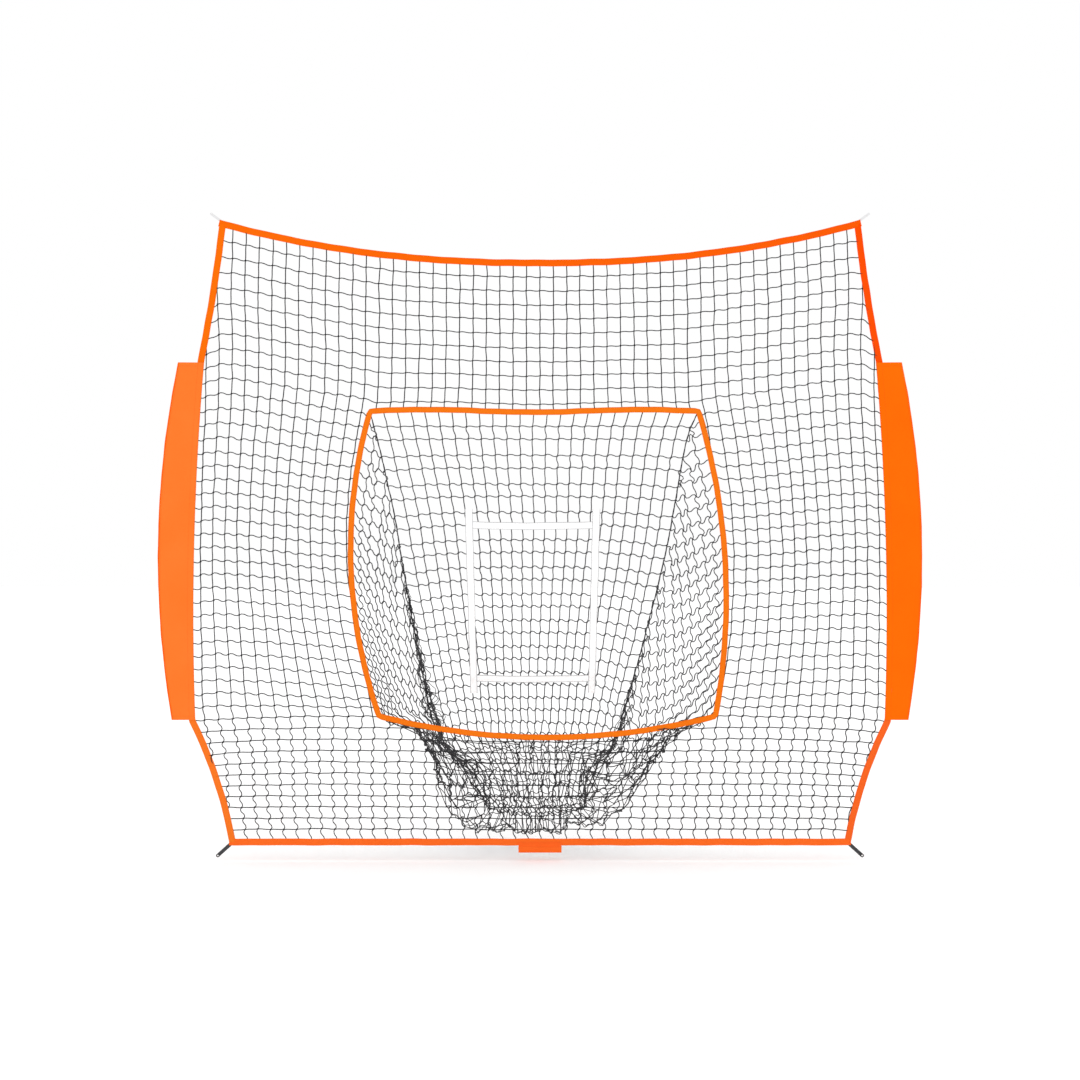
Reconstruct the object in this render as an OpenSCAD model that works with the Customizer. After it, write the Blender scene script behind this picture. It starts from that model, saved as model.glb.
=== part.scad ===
// Practice net with a ball pocket, a removable target and side sleeves for bow poles.
// X runs across the net, Z is up and the pocket hangs behind the front net, towards +Y.
// The origin is the centre of the base loop, where the ground bar of a frame runs.
// All sizes are in millimetres.

/* [Front net] */
// Width between the outer corners of the top hem
top_w = 2118; // [1900:2:2300]
// Width between the outer corners of the bottom hem
bottom_w = 2052; // [1850:2:2250]
// Height of the top corners above the bottom edge of the bottom hem
net_h = 2065; // [1960:1:2200]
// How far the middle of the top hem hangs below its corners
top_sag = 132; // [20:1:200]
// Distance between neighbouring cords of the front net
net_pitch = 104; // [102:1:160]
// Width of each cord of the front net
cord_w = 4; // [2:0.5:8]
// Thickness of the front net
net_t = 3; // [2:0.5:5]

/* [Hems] */
// Width of the tape round the edge of the net
hem_w = 22; // [14:1:30]
// Thickness of the hems, both folds of the tape over the edge cord
hem_t = 6; // [5:0.5:9]
// How far the side hem stands out at a sleeve's lower end, beyond the bottom corner
hem_foot_out = 134; // [60:1:180]
// How far the side hem stands out at a sleeve's upper end, beyond the top corner
hem_head_out = 72; // [30:1:120]
// How far the side hem bows out between the ends of the sleeve
hem_bow = 18; // [0:1:40]

/* [Mouth of the pocket] */
// Width of the mouth between its top corners
mouth_top_w = 1085; // [1000:5:1150]
// Width of the mouth between its bottom corners
mouth_bottom_w = 1111; // [1000:5:1200]
// Height of the mouth between its corners
mouth_h = 1007; // [900:1:1040]
// Height of the mouth's bottom corners above the origin
mouth_z = 438; // [420:1:470]
// Sideways set of the mouth's top edge
mouth_top_shift = -19; // [-30:1:30]
// Sideways set of the mouth's bottom edge
mouth_bottom_shift = 24; // [-30:1:30]
// How far the left edge of the mouth bows out
mouth_left_bow = 78; // [10:1:90]
// How far the right edge of the mouth bows out
mouth_right_bow = 60; // [10:1:90]
// How far the bottom edge of the mouth hangs down
mouth_sag = 70; // [0:1:80]
// How far the top edge of the mouth rises in its middle
mouth_rise = 6; // [0:1:20]
// Width of the tape round the mouth
rim_w = 19; // [12:1:26]
// Thickness of the tape round the mouth
rim_t = 6; // [5:0.5:9]

/* [Pocket] */
// Thickness of the pocket's netting
pocket_t = 4; // [2:0.5:6]
// How far the lower edge of the back wall hangs behind the front net
pocket_depth = 480; // [400:5:520]
// Height of the middle of the back wall's lower edge above the origin
wall_z = 110; // [90:5:160]
// Height of the pocket's lowest point above the origin
pocket_z = 8; // [0:1:40]
// Half width of the flat middle of the back wall
wall_flat = 262; // [255:1:275]
// Half width of the pocket at the back wall's lower edge
wall_low_w = 288; // [280:1:330]
// Depth of the side seams' lower ends behind the front net
seam_depth = 350; // [300:5:380]
// Height of the side seams' lower ends above the origin
seam_z = 150; // [100:5:200]
// Clearance between the netting of the pocket and what it hangs on
wall_gap = 0.3; // [0.2:0.05:0.5]

/* [Target straps] */
// Width of each target strap
strap_w = 25; // [18:1:32]
// Thickness of each target strap
strap_t = 2; // [1.5:0.25:3]
// Distance between the centre lines of the upright straps
target_w = 424; // [380:2:430]
// Distance between the centre lines of the cross straps
target_h = 560; // [480:2:570]
// Distance of the target's middle from the top edge of the back wall, along the wall
target_down = 677; // [640:1:720]
// Sideways set of the target
target_shift = -25; // [-30:1:0]
// How far the upright straps run past the cross straps
strap_tail = 44; // [30:1:60]

/* [Pole sleeves] */
// Height of the lower end of each sleeve above the origin
sleeve_z = 426; // [400:2:480]
// Length of each sleeve, measured straight up
sleeve_h = 1180; // [1000:10:1200]
// Distance of a sleeve's outer seam from the middle of the hem, at its lower end
sleeve_foot_w = 66; // [50:1:90]
// Distance of a sleeve's outer seam from the middle of the hem, at its upper end
sleeve_head_w = 74; // [50:1:90]
// How far the outer seam bows out between its ends
sleeve_bow = 56; // [30:1:80]
// Thickness of the sleeve cloth
cloth_t = 1.5; // [1:0.25:2.5]
// Width of the sewn edge where the two sides of a sleeve meet
sleeve_seam_w = 6; // [5:0.5:9]

/* [Base loop] */
// Radius of the ground bar that the base loop takes
bar_r = 10; // [8:0.5:14]
// Length of the base loop along the bar
loop_l = 142; // [100:2:200]
// Thickness of the webbing of the base loop
loop_t = 2; // [1.5:0.25:3]
// How far the loop's front end reaches up over the hem
front_leaf_h = 9; // [6:0.5:20]
// How far the flap reaches up behind the hem
flap_h = 20; // [16:0.5:28]
// Thickness of the hook patch and of the loop patch
patch_t = 1.2; // [0.8:0.1:2]

/* [Corner tabs] */
// Length of each bottom tab from the corner of the net
low_tab_l = 56; // [40:1:70]
// Width of each bottom tab
low_tab_w = 12; // [10:0.5:16]
// Radius of the eyelet in each bottom tab
low_eye_r = 2.5; // [2:0.25:3.5]
// How far each bottom tab points below the horizontal, in degrees
low_tab_angle = 42; // [38:1:52]
// Length of each top tab from the corner of the net
high_tab_l = 36; // [28:1:50]
// Width of each top tab
high_tab_w = 8; // [7:0.5:12]
// Radius of the eyelet in each top tab
high_eye_r = 1.75; // [1.5:0.25:2.5]
// How far each top tab points above the horizontal, in degrees
high_tab_angle = 36; // [34:1:50]
// Thickness of the tabs
tab_t = 3; // [2:0.5:4]

/* [Hidden] */
$fn = 64;

TAPE_ORANGE = [0.98, 0.40, 0.06];
CLOTH_ORANGE = [1.0, 0.45, 0.10];
TWINE_BLACK = [0.13, 0.13, 0.14];
WEBBING_WHITE = [0.93, 0.93, 0.92];
ELASTIC_BLACK = [0.16, 0.16, 0.17];
ELASTIC_GREY = [0.72, 0.72, 0.72];

LEFT = -1;
RIGHT = 1;

// ---- paths: lists of [x, z] points in the plane of the net ----

// From a to b, bowed to the left of the way by the given height.
function bowed(a, b, bow, steps) = [
    for (i = [0 : steps])
        let (t = i / steps, way = b - a, aside = [-way[1], way[0]] / norm(way))
            a + way * t + aside * bow * 4 * t * (1 - t)
];
function way_at(path, i) =
    let (a = path[max(i - 1, 0)], b = path[min(i + 1, len(path) - 1)])
        (b - a) / norm(b - a);
// The same path moved to the left of its way by d.
function beside(path, d) = [
    for (i = [0 : len(path) - 1])
        let (way = way_at(path, i))
            path[i] + [-way[1], way[0]] * d
];
// The same path with both ends run on by e.
function run_on(path, e) =
    let (last = len(path) - 1)
        concat(
            [path[0] - way_at(path, 0) * e],
            [for (i = [1 : last - 1]) path[i]],
            [path[last] + way_at(path, last) * e]
        );
function reversed(list) = [for (i = [len(list) - 1 : -1 : 0]) list[i]];
function to_side(path, side) = [for (p = path) [side * p[0], p[1]]];
function tail_of(list) = [for (i = [1 : len(list) - 1]) list[i]];
// Point of a path at a share of its steps.
function along(path, t) =
    let (s = t * (len(path) - 1), i = min(floor(s), len(path) - 2))
        path[i] + (path[i + 1] - path[i]) * (s - i);

// ---- hems ----

loop_r = bar_r + loop_t;
hem_low_z = loop_r;
hem_mid_z = hem_low_z + hem_w / 2;
top_z = hem_low_z + net_h;
sleeve_top_z = sleeve_z + sleeve_h;

SAG_POWER = 2.2;
TOP_STEPS = 24;
function top_hem_z(x) =
    top_z - hem_w / 2 - top_sag * (1 - pow(min(1, abs(2 * x / top_w)), SAG_POWER));
top_path = [
    for (i = [0 : TOP_STEPS])
        let (x = top_w * (i / TOP_STEPS - 0.5))
            [x, top_hem_z(x)]
];
bottom_path = [[-bottom_w / 2, hem_mid_z], [bottom_w / 2, hem_mid_z]];

// The right side hem, from low to high: a slanted foot, a run along the sleeve and a
// slanted head. The left one is its mirror image.
FOOT_BOW = 15;
HEAD_BOW = 5;
foot_low = [(bottom_w - hem_w) / 2, hem_mid_z];
foot_high = [foot_low[0] + hem_foot_out, sleeve_z];
head_high = [(top_w - hem_w) / 2, top_z - 0.7 * hem_w];
head_low = [head_high[0] + hem_head_out, sleeve_top_z];
sleeve_run = bowed(foot_high, head_low, -hem_bow, 8);
side_path = concat(
    bowed(foot_low, foot_high, FOOT_BOW, 4),
    tail_of(sleeve_run),
    tail_of(bowed(head_low, head_high, HEAD_BOW, 4))
);

// ---- mouth of the pocket ----

MOUTH_STEPS = 12;
mouth_high_z = mouth_z + mouth_h;
mouth_tl = [mouth_top_shift - mouth_top_w / 2, mouth_high_z];
mouth_tr = [mouth_top_shift + mouth_top_w / 2, mouth_high_z];
mouth_bl = [mouth_bottom_shift - mouth_bottom_w / 2, mouth_z];
mouth_br = [mouth_bottom_shift + mouth_bottom_w / 2, mouth_z];
mouth_top = bowed(mouth_tl, mouth_tr, mouth_rise, MOUTH_STEPS);
mouth_bottom = bowed(mouth_bl, mouth_br, -mouth_sag, MOUTH_STEPS);
mouth_left = bowed(mouth_bl, mouth_tl, mouth_left_bow, MOUTH_STEPS);
mouth_right = bowed(mouth_br, mouth_tr, -mouth_right_bow, MOUTH_STEPS);

// ---- pocket ----

// The netting starts just behind the tape of the mouth.
front_y = rim_t / 2 + wall_gap;
wall_slope = (pocket_depth - front_y) / (mouth_high_z - wall_z);
wall_angle = atan(wall_slope);
function wall_y(z) = front_y + wall_slope * (mouth_high_z - z);

// Side seam between the back wall and a gusset, from the mouth's top corner down.
SEAM_OUT = 25;
SEAM_FLAT = 30;
function seam(corner, side, t) =
    let (
        from = [corner[0], front_y, corner[1]],
        to = [side * wall_low_w, seam_depth, seam_z],
        hang = [side * SEAM_OUT, -SEAM_FLAT, 0] * 4 * t * (1 - t)
    )
        from + (to - from) * t + hang;

function bezier(a, b, c, t) = a * (1 - t) * (1 - t) + b * 2 * t * (1 - t) + c * t * t;

// Lower edge of a gusset, from the seam's lower end forward to the mouth's lower corner.
LOW_EDGE_OUT = 75;
LOW_EDGE_DEPTH = 0.42;
LOW_EDGE_DIP = 0.22;
function gusset_low(corner, side, t) =
    bezier(
        [side * wall_low_w, seam_depth, seam_z],
        [side * (wall_low_w + LOW_EDGE_OUT), seam_depth * LOW_EDGE_DEPTH, seam_z * LOW_EDGE_DIP],
        [corner[0], front_y, corner[1]],
        t
    );

// The sack's columns: half of the flat width that is left at the wall's lower edge, and
// where the same columns meet the tape of the mouth.
LOW_FLAT = 0.8;
FLOOR_SPREAD = 1.45;
low_flat = wall_flat * LOW_FLAT;
floor_columns = [-1, -0.5, 0, 0.5, 1];
SIDE_RISE = 75;

// Lower edge of the back wall at a column.
function wall_low(column) =
    let (z = wall_z + (seam_z - wall_z) * 0.6 * column * column)
        [low_flat * column, wall_y(z), z];

// Point of the mouth's lower edge at a column.
function rim_low(column) =
    let (
        x = mouth_bottom_shift + low_flat * FLOOR_SPREAD * column,
        t = (x - mouth_bl[0]) / (mouth_br[0] - mouth_bl[0])
    )
        [x, front_y, mouth_z - mouth_sag * 4 * t * (1 - t)];

// From the back wall's lower edge down and forward to the mouth's tape. The height of the
// control point makes the column's lowest point lie where the sack hangs to.
LOWEST_T = 0.34;
function floor_point(column, t) =
    let (
        back = wall_low(column),
        front = rim_low(column),
        lowest = pocket_z + SIDE_RISE * column * column,
        held = back[2] * (1 - LOWEST_T) * (1 - LOWEST_T) + front[2] * LOWEST_T * LOWEST_T,
        dip = (lowest - held) / (2 * LOWEST_T * (1 - LOWEST_T))
    )
        bezier(back, [(back[0] + front[0]) / 2, back[1] / 2, dip], front, t);

// ---- flat outlines ----

module strip(path, w) {
    polygon(concat(beside(path, w / 2), reversed(beside(path, -w / 2))));
}

module top_hem_outline(more = 0) {
    strip(run_on(top_path, more), hem_w + 2 * more);
}

module bottom_hem_outline(more = 0) {
    strip(run_on(bottom_path, more), hem_w + 2 * more);
}

module side_hem_outline(side, more = 0) {
    strip(to_side(side_path, side), hem_w + 2 * more);
}

module rim_top_outline() {
    strip(run_on(mouth_top, rim_w / 2), rim_w);
}

module rim_bottom_outline() {
    strip(run_on(mouth_bottom, rim_w / 2), rim_w);
}

module mouth_outline() {
    polygon(concat(
        mouth_bottom,
        tail_of(mouth_right),
        tail_of(reversed(mouth_top)),
        tail_of(reversed(mouth_left))
    ));
}

// Everything inside the hems and outside the mouth's tape.
module net_outline() {
    difference() {
        polygon(concat(
            bottom_path,
            side_path,
            reversed(top_path),
            reversed(to_side(side_path, LEFT))
        ));
        top_hem_outline();
        bottom_hem_outline();
        side_hem_outline(LEFT);
        side_hem_outline(RIGHT);
        mouth_outline();
        rim_top_outline();
        rim_bottom_outline();
        strip(mouth_left, rim_w);
        strip(mouth_right, rim_w);
    }
}

// Stands a flat outline upright, t thick, with its middle at depth y.
module upright(t, y = 0) {
    translate([0, y + t / 2, 0])
        rotate([90, 0, 0])
            linear_extrude(t)
                children();
}

// ---- front net ----

net_rows = floor(net_h / net_pitch);
side_reach = foot_high[0] + 2 * hem_bow + hem_w;

// Height of a level cord at x. It hangs as the top hem does, and less so the lower it is.
function cord_z(row, x) =
    hem_mid_z + row * net_pitch / net_h * (top_hem_z(x) - hem_mid_z);

// The opening above a level cord and to the right of an upright one.
module cell(column, row) {
    x0 = column * net_pitch;
    x1 = x0 + net_pitch;
    polygon([
        [x0 + cord_w / 2, cord_z(row, x0) + cord_w / 2],
        [x1 - cord_w / 2, cord_z(row, x1) + cord_w / 2],
        [x1 - cord_w / 2, cord_z(row + 1, x1) - cord_w / 2],
        [x0 + cord_w / 2, cord_z(row + 1, x0) - cord_w / 2]
    ]);
}

// The part of the net that lies in the window from low to high.
module net_panel(low, high) {
    columns = [floor(low[0] / net_pitch) : ceil(high[0] / net_pitch) - 1];
    color(TWINE_BLACK) upright(net_t) difference() {
        intersection() {
            net_outline();
            translate(low) square(high - low);
        }
        for (column = columns)
            for (row = [0 : net_rows])
                if (
                    cord_z(row, (column + 0.5) * net_pitch) < high[1]
                    && cord_z(row + 1, (column + 0.5) * net_pitch) > low[1]
                )
                    cell(column, row);
    }
}

module net_top() {
    net_panel([-side_reach, mouth_high_z], [side_reach, top_z]);
}

module net_bottom() {
    net_panel([-side_reach, hem_low_z], [side_reach, mouth_z]);
}

module net_left() {
    net_panel([-side_reach, mouth_z], [mouth_top_shift, mouth_high_z]);
}

module net_right() {
    net_panel([mouth_top_shift, mouth_z], [side_reach, mouth_high_z]);
}

// ---- hems ----

module top_hem() {
    color(TAPE_ORANGE) upright(hem_t) top_hem_outline();
}

module bottom_hem() {
    color(TAPE_ORANGE) upright(hem_t) bottom_hem_outline();
}

module side_hem(side) {
    color(TAPE_ORANGE) upright(hem_t) difference() {
        side_hem_outline(side);
        top_hem_outline();
        bottom_hem_outline();
    }
}

module left_hem() {
    side_hem(LEFT);
}

module right_hem() {
    side_hem(RIGHT);
}

// ---- tape round the mouth ----

module rim_top() {
    color(TAPE_ORANGE) upright(rim_t) rim_top_outline();
}

module rim_bottom() {
    color(TAPE_ORANGE) upright(rim_t) rim_bottom_outline();
}

module rim_side(path) {
    color(TAPE_ORANGE) upright(rim_t) difference() {
        strip(path, rim_w);
        rim_top_outline();
        rim_bottom_outline();
    }
}

module rim_left() {
    rim_side(mouth_left);
}

module rim_right() {
    rim_side(mouth_right);
}

// ---- sleeves for the bow poles ----

sleeve_outer = bowed(
    foot_high + [sleeve_foot_w, 0],
    head_low + [sleeve_head_w, 0],
    -sleeve_bow,
    12
);

module sleeve_face(side, y) {
    color(CLOTH_ORANGE) upright(cloth_t, y) polygon(concat(
        to_side(beside(sleeve_run, hem_w / 2), side),
        reversed(to_side(sleeve_outer, side))
    ));
}

module sleeve_edge(side) {
    color(CLOTH_ORANGE) upright(hem_t) polygon(concat(
        to_side(beside(sleeve_outer, sleeve_seam_w), side),
        reversed(to_side(sleeve_outer, side))
    ));
}

face_y = (hem_t + cloth_t) / 2;

module left_sleeve_front() {
    sleeve_face(LEFT, -face_y);
}

module left_sleeve_back() {
    sleeve_face(LEFT, face_y);
}

module left_sleeve_edge() {
    sleeve_edge(LEFT);
}

module right_sleeve_front() {
    sleeve_face(RIGHT, -face_y);
}

module right_sleeve_back() {
    sleeve_face(RIGHT, face_y);
}

module right_sleeve_edge() {
    sleeve_edge(RIGHT);
}

// ---- netting of the pocket ----

// Faces round the edge of a sheet of rows by cols cells, whose back points follow its
// front ones after count.
function rim_faces(rows, cols, count) =
    let (
        width = cols + 1,
        rim = concat(
            [for (j = [0 : cols]) j],
            [for (i = [1 : rows]) i * width + cols],
            [for (j = [cols - 1 : -1 : 0]) rows * width + j],
            [for (i = [rows - 1 : -1 : 1]) i * width]
        )
    )
        [
            for (k = [0 : len(rim) - 1])
                let (a = rim[k], b = rim[(k + 1) % len(rim)])
                    each [[b, a, a + count], [b, a + count, b + count]]
        ];

// A closed sheet over a grid of points, thickened by the vector off.
module sheet(grid, off) {
    rows = len(grid) - 1;
    cols = len(grid[0]) - 1;
    face = [for (row = grid) for (p = row) p];
    back = [for (p = face) p + off];
    count = len(face);
    function at(i, j) = i * (cols + 1) + j;
    front_faces = [
        for (i = [0 : rows - 1])
            for (j = [0 : cols - 1])
                let (a = at(i, j), b = at(i, j + 1), c = at(i + 1, j + 1), d = at(i + 1, j))
                    each [[a, b, c], [a, c, d]]
    ];
    back_faces = [for (f = front_faces) [f[2] + count, f[1] + count, f[0] + count]];
    polyhedron(
        points = concat(face, back),
        faces = concat(front_faces, back_faces, rim_faces(rows, cols, count))
    );
}

// A point inside a cell's corner p, half a cord's width from the edges to q and to r.
function inside(p, q, r) =
    let (u = (q - p) / norm(q - p), v = (r - p) / norm(r - p))
        p + (u + v) * cord_w / 2 / norm(cross(u, v));

// The same sheet with an opening in each cell of the grid and cords along its lines.
module open_sheet(grid, off) {
    SIDES = 4;
    rows = len(grid) - 1;
    cols = len(grid[0]) - 1;
    knots = (rows + 1) * (cols + 1);
    count = knots + SIDES * rows * cols;
    function at(i, j) = i * (cols + 1) + j;
    function corners(i, j) = [at(i, j), at(i, j + 1), at(i + 1, j + 1), at(i + 1, j)];
    function hole(i, j) = [for (k = [0 : SIDES - 1]) knots + SIDES * (i * cols + j) + k];
    cells = [for (i = [0 : rows - 1]) for (j = [0 : cols - 1]) [corners(i, j), hole(i, j)]];
    face = [for (row = grid) for (p = row) p];
    holes = [
        for (cell = cells)
            for (k = [0 : SIDES - 1])
                let (c = cell[0])
                    inside(face[c[k]], face[c[(k + 1) % SIDES]], face[c[(k + 3) % SIDES]])
    ];
    front = concat(face, holes);
    back = [for (p = front) p + off];
    front_faces = [
        for (cell = cells)
            for (k = [0 : SIDES - 1])
                let (next = (k + 1) % SIDES, c = cell[0], h = cell[1])
                    each [[c[k], c[next], h[next]], [c[k], h[next], h[k]]]
    ];
    back_faces = [for (f = front_faces) [f[2] + count, f[1] + count, f[0] + count]];
    hole_faces = [
        for (cell = cells)
            for (k = [0 : SIDES - 1])
                let (a = cell[1][k], b = cell[1][(k + 1) % SIDES])
                    each [[a, b, b + count], [a, b + count, a + count]]
    ];
    polyhedron(
        points = concat(front, back),
        faces = concat(front_faces, back_faces, hole_faces, rim_faces(rows, cols, count))
    );
}

WALL_ROWS = 6;
// Openings of the back wall from top to bottom.
WALL_OPENINGS = 12;
FLOOR_ROWS = 6;
// A gusset starts a little below the mouth's corner, where it has some width.
GUSSET_START = 0.05;

// The side seam as the edge of the back wall runs, and its point at a share of its steps.
function seam_line(corner, side) = [for (i = [0 : WALL_ROWS]) seam(corner, side, i / WALL_ROWS)];
function left_seam(t) = along(seam_line(mouth_tl, LEFT), t);
function right_seam(t) = along(seam_line(mouth_tr, RIGHT), t);

// A level line of the back wall's flat middle, and its point at a column.
function middle_point(column, t) =
    let (z = left_seam(t)[2])
        t < 1 ? [wall_flat * column, wall_y(z), z] : wall_low(column);
function middle_row(t) = [for (column = floor_columns) middle_point(column, t)];

function halved(a, b) = [a, (a + b) / 2, b];

module back_wall() {
    wall_part([for (i = [0 : WALL_OPENINGS]) middle_row(i / WALL_OPENINGS)]);
}

// The leaning sides of the back wall, from its flat middle to the seams.
module back_wall_left() {
    wall_part([
        for (i = [0 : WALL_OPENINGS])
            let (t = i / WALL_OPENINGS)
                halved(left_seam(t), middle_point(-1, t))
    ]);
}

module back_wall_right() {
    wall_part([
        for (i = [0 : WALL_OPENINGS])
            let (t = i / WALL_OPENINGS)
                halved(middle_point(1, t), right_seam(t))
    ]);
}

module wall_part(grid) {
    color(TWINE_BLACK) translate([0, wall_gap, 0]) open_sheet(grid, [0, pocket_t, 0]);
}

function gusset_point(rim_path, top_corner, low_corner, side, t, s) =
    let (
        rim = along(rim_path, 1 - t),
        a = [rim[0], front_y, rim[1]],
        b = side == LEFT ? left_seam(t) : right_seam(t),
        low_a = [low_corner[0], front_y, low_corner[1]],
        low_b = seam(top_corner, side, 1),
        hang = gusset_low(low_corner, side, 1 - s) - (low_a + (low_b - low_a) * s)
    )
        a + (b - a) * s + hang * t * t;

module gusset(rim_path, top_corner, low_corner, side) {
    color(TWINE_BLACK) sheet(
        [
            for (i = [0 : WALL_ROWS])
                let (t = max(GUSSET_START, i / WALL_ROWS))
                    [
                        for (j = [0 : FLOOR_ROWS])
                            let (s = side < 0 ? j / FLOOR_ROWS : 1 - j / FLOOR_ROWS)
                                gusset_point(rim_path, top_corner, low_corner, side, t, s)
                    ]
        ],
        [side * pocket_t, 0, 0]
    );
}

module left_gusset() {
    gusset(mouth_left, mouth_tl, mouth_bl, LEFT);
}

module right_gusset() {
    gusset(mouth_right, mouth_tr, mouth_br, RIGHT);
}

function floor_row(t) = concat(
    [gusset_low(mouth_bl, LEFT, t)],
    [for (c = floor_columns) floor_point(c, t)],
    [gusset_low(mouth_br, RIGHT, t)]
);

module sack_floor() {
    color(TWINE_BLACK) sheet(
        [for (i = [0 : FLOOR_ROWS]) floor_row(i / FLOOR_ROWS)],
        [0, 0, -pocket_t]
    );
}

// ---- target ----

// Lays flat pieces on the back wall: Y is out of the wall and -Z runs down along it.
module on_wall() {
    translate([target_shift, front_y + wall_gap, mouth_high_z])
        rotate([wall_angle, 0, 0])
            translate([0, -wall_gap, -target_down])
                children();
}

upright_l = target_h + strap_w + 2 * strap_tail;

module upright_strap(side) {
    color(WEBBING_WHITE) on_wall()
        translate([side * target_w / 2 - strap_w / 2, -2 * strap_t, -upright_l / 2])
            cube([strap_w, strap_t, upright_l]);
}

module cross_strap(side) {
    length = target_w + strap_w;
    color(WEBBING_WHITE) on_wall()
        translate([-length / 2, -strap_t, side * target_h / 2 - strap_w / 2])
            cube([length, strap_t, strap_w]);
}

module target_left() {
    upright_strap(LEFT);
}

module target_right() {
    upright_strap(RIGHT);
}

module target_top() {
    cross_strap(1);
}

module target_bottom() {
    cross_strap(-1);
}

module target_patches() {
    patch_l = strap_tail - 2;
    color(WEBBING_WHITE) on_wall()
        for (side = [LEFT, RIGHT])
            for (end = [-1, 1])
                translate([
                    side * target_w / 2 - strap_w / 2,
                    -strap_t,
                    end * (upright_l - patch_l) / 2 - patch_l / 2
                ])
                    cube([strap_w, strap_t, patch_l]);
}

// ---- base loop ----

// Webbing angles round the bar, from the back (+Y) upwards.
LOOP_START = 100;
LOOP_END = 380;
FLAP_START = 20.5;

module ring(from, to) {
    far = 4 * loop_r;
    steps = 8;
    intersection() {
        difference() {
            circle(loop_r);
            circle(bar_r);
        }
        polygon(concat(
            [[0, 0]],
            [
                for (i = [0 : steps])
                    let (a = from + (to - from) * i / steps)
                        [far * cos(a), far * sin(a)]
            ]
        ));
    }
}

// Runs an outline drawn in the Y-Z plane along the bar, over a length l.
module along_bar(l) {
    translate([-l / 2, 0, 0])
        rotate([90, 0, 90])
            linear_extrude(l)
                children();
}

leaf_y = hem_t / 2;
flap_y = hem_t / 2 + 2 * patch_t;
flap_top_z = hem_low_z + flap_h;

module base_loop() {
    color(TAPE_ORANGE) along_bar(loop_l) union() {
        ring(LOOP_START, LOOP_END);
        difference() {
            translate([-leaf_y - loop_t, bar_r / 2])
                square([loop_t, hem_low_z + front_leaf_h - bar_r / 2]);
            circle((bar_r + loop_r) / 2);
        }
    }
}

module base_flap() {
    color(TAPE_ORANGE) along_bar(loop_l) union() {
        ring(FLAP_START, acos((flap_y + loop_t / 2) / loop_r));
        difference() {
            translate([flap_y, bar_r / 2])
                square([loop_t, flap_top_z - bar_r / 2]);
            circle((bar_r + loop_r) / 2);
        }
    }
}

module hem_patch(y) {
    gap = 2;
    translate([-loop_l / 2 + gap, y, hem_low_z + gap])
        cube([loop_l - 2 * gap, patch_t, flap_h - 2 * gap]);
}

module flap_hook_patch() {
    color(ELASTIC_BLACK) hem_patch(hem_t / 2 + patch_t);
}

module hem_loop_patch() {
    color(ELASTIC_BLACK) hem_patch(hem_t / 2);
}

// ---- corner tabs ----

TAB_ROOT = 7;
TAB_CLEAR = 0.3;
low_corner = [bottom_w / 2, hem_low_z];
high_corner = [top_w / 2, top_z];

// A tab forks round the corner of the hems and ends in an eyelet.
module tab_outline(corner, angle, l, w, eye_r) {
    difference() {
        translate(corner) rotate(angle) difference() {
            union() {
                translate([-TAB_ROOT, -w / 2]) square([l - w / 2 + TAB_ROOT, w]);
                translate([l - w / 2, 0]) circle(w / 2);
            }
            translate([l - w / 2, 0]) circle(eye_r);
        }
        top_hem_outline(TAB_CLEAR);
        bottom_hem_outline(TAB_CLEAR);
        side_hem_outline(RIGHT, TAB_CLEAR);
    }
}

module low_tab() {
    color(ELASTIC_BLACK) upright(tab_t)
        tab_outline(low_corner, -low_tab_angle, low_tab_l, low_tab_w, low_eye_r);
}

module high_tab() {
    color(ELASTIC_GREY) upright(tab_t)
        tab_outline(high_corner, high_tab_angle, high_tab_l, high_tab_w, high_eye_r);
}

module top_left_tab() {
    mirror([1, 0, 0]) high_tab();
}

module top_right_tab() {
    high_tab();
}

module bottom_left_tab() {
    mirror([1, 0, 0]) low_tab();
}

module bottom_right_tab() {
    low_tab();
}

top_hem();
bottom_hem();
left_hem();
right_hem();
net_top();
net_bottom();
net_left();
net_right();
rim_top();
rim_bottom();
rim_left();
rim_right();
left_sleeve_front();
left_sleeve_back();
left_sleeve_edge();
right_sleeve_front();
right_sleeve_back();
right_sleeve_edge();
back_wall();
back_wall_left();
back_wall_right();
left_gusset();
right_gusset();
sack_floor();
target_left();
target_right();
target_top();
target_bottom();
target_patches();
base_loop();
base_flap();
flap_hook_patch();
hem_loop_patch();
top_left_tab();
top_right_tab();
bottom_left_tab();
bottom_right_tab();
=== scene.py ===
"""Practice net with a ball pocket: twine, tapes, sleeves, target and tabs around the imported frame.

X runs across the net, Y goes back into the pocket and Z is up. All sizes are in metres.
"""

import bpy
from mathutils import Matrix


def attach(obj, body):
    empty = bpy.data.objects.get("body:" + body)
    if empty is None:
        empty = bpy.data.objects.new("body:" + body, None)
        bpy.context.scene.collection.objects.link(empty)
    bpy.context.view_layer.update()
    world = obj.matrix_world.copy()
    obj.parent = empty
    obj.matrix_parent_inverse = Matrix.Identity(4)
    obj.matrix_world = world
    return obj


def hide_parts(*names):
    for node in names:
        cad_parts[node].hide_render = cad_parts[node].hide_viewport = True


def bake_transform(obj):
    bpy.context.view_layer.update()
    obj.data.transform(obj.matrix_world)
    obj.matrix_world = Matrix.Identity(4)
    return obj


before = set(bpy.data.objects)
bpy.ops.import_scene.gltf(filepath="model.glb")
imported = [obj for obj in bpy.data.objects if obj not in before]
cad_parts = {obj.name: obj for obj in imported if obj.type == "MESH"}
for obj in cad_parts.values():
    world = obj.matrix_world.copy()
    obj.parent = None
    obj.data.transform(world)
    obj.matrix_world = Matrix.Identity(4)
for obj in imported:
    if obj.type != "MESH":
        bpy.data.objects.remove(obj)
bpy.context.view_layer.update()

import logging
import math
from dataclasses import dataclass, field
from enum import Enum
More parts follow.
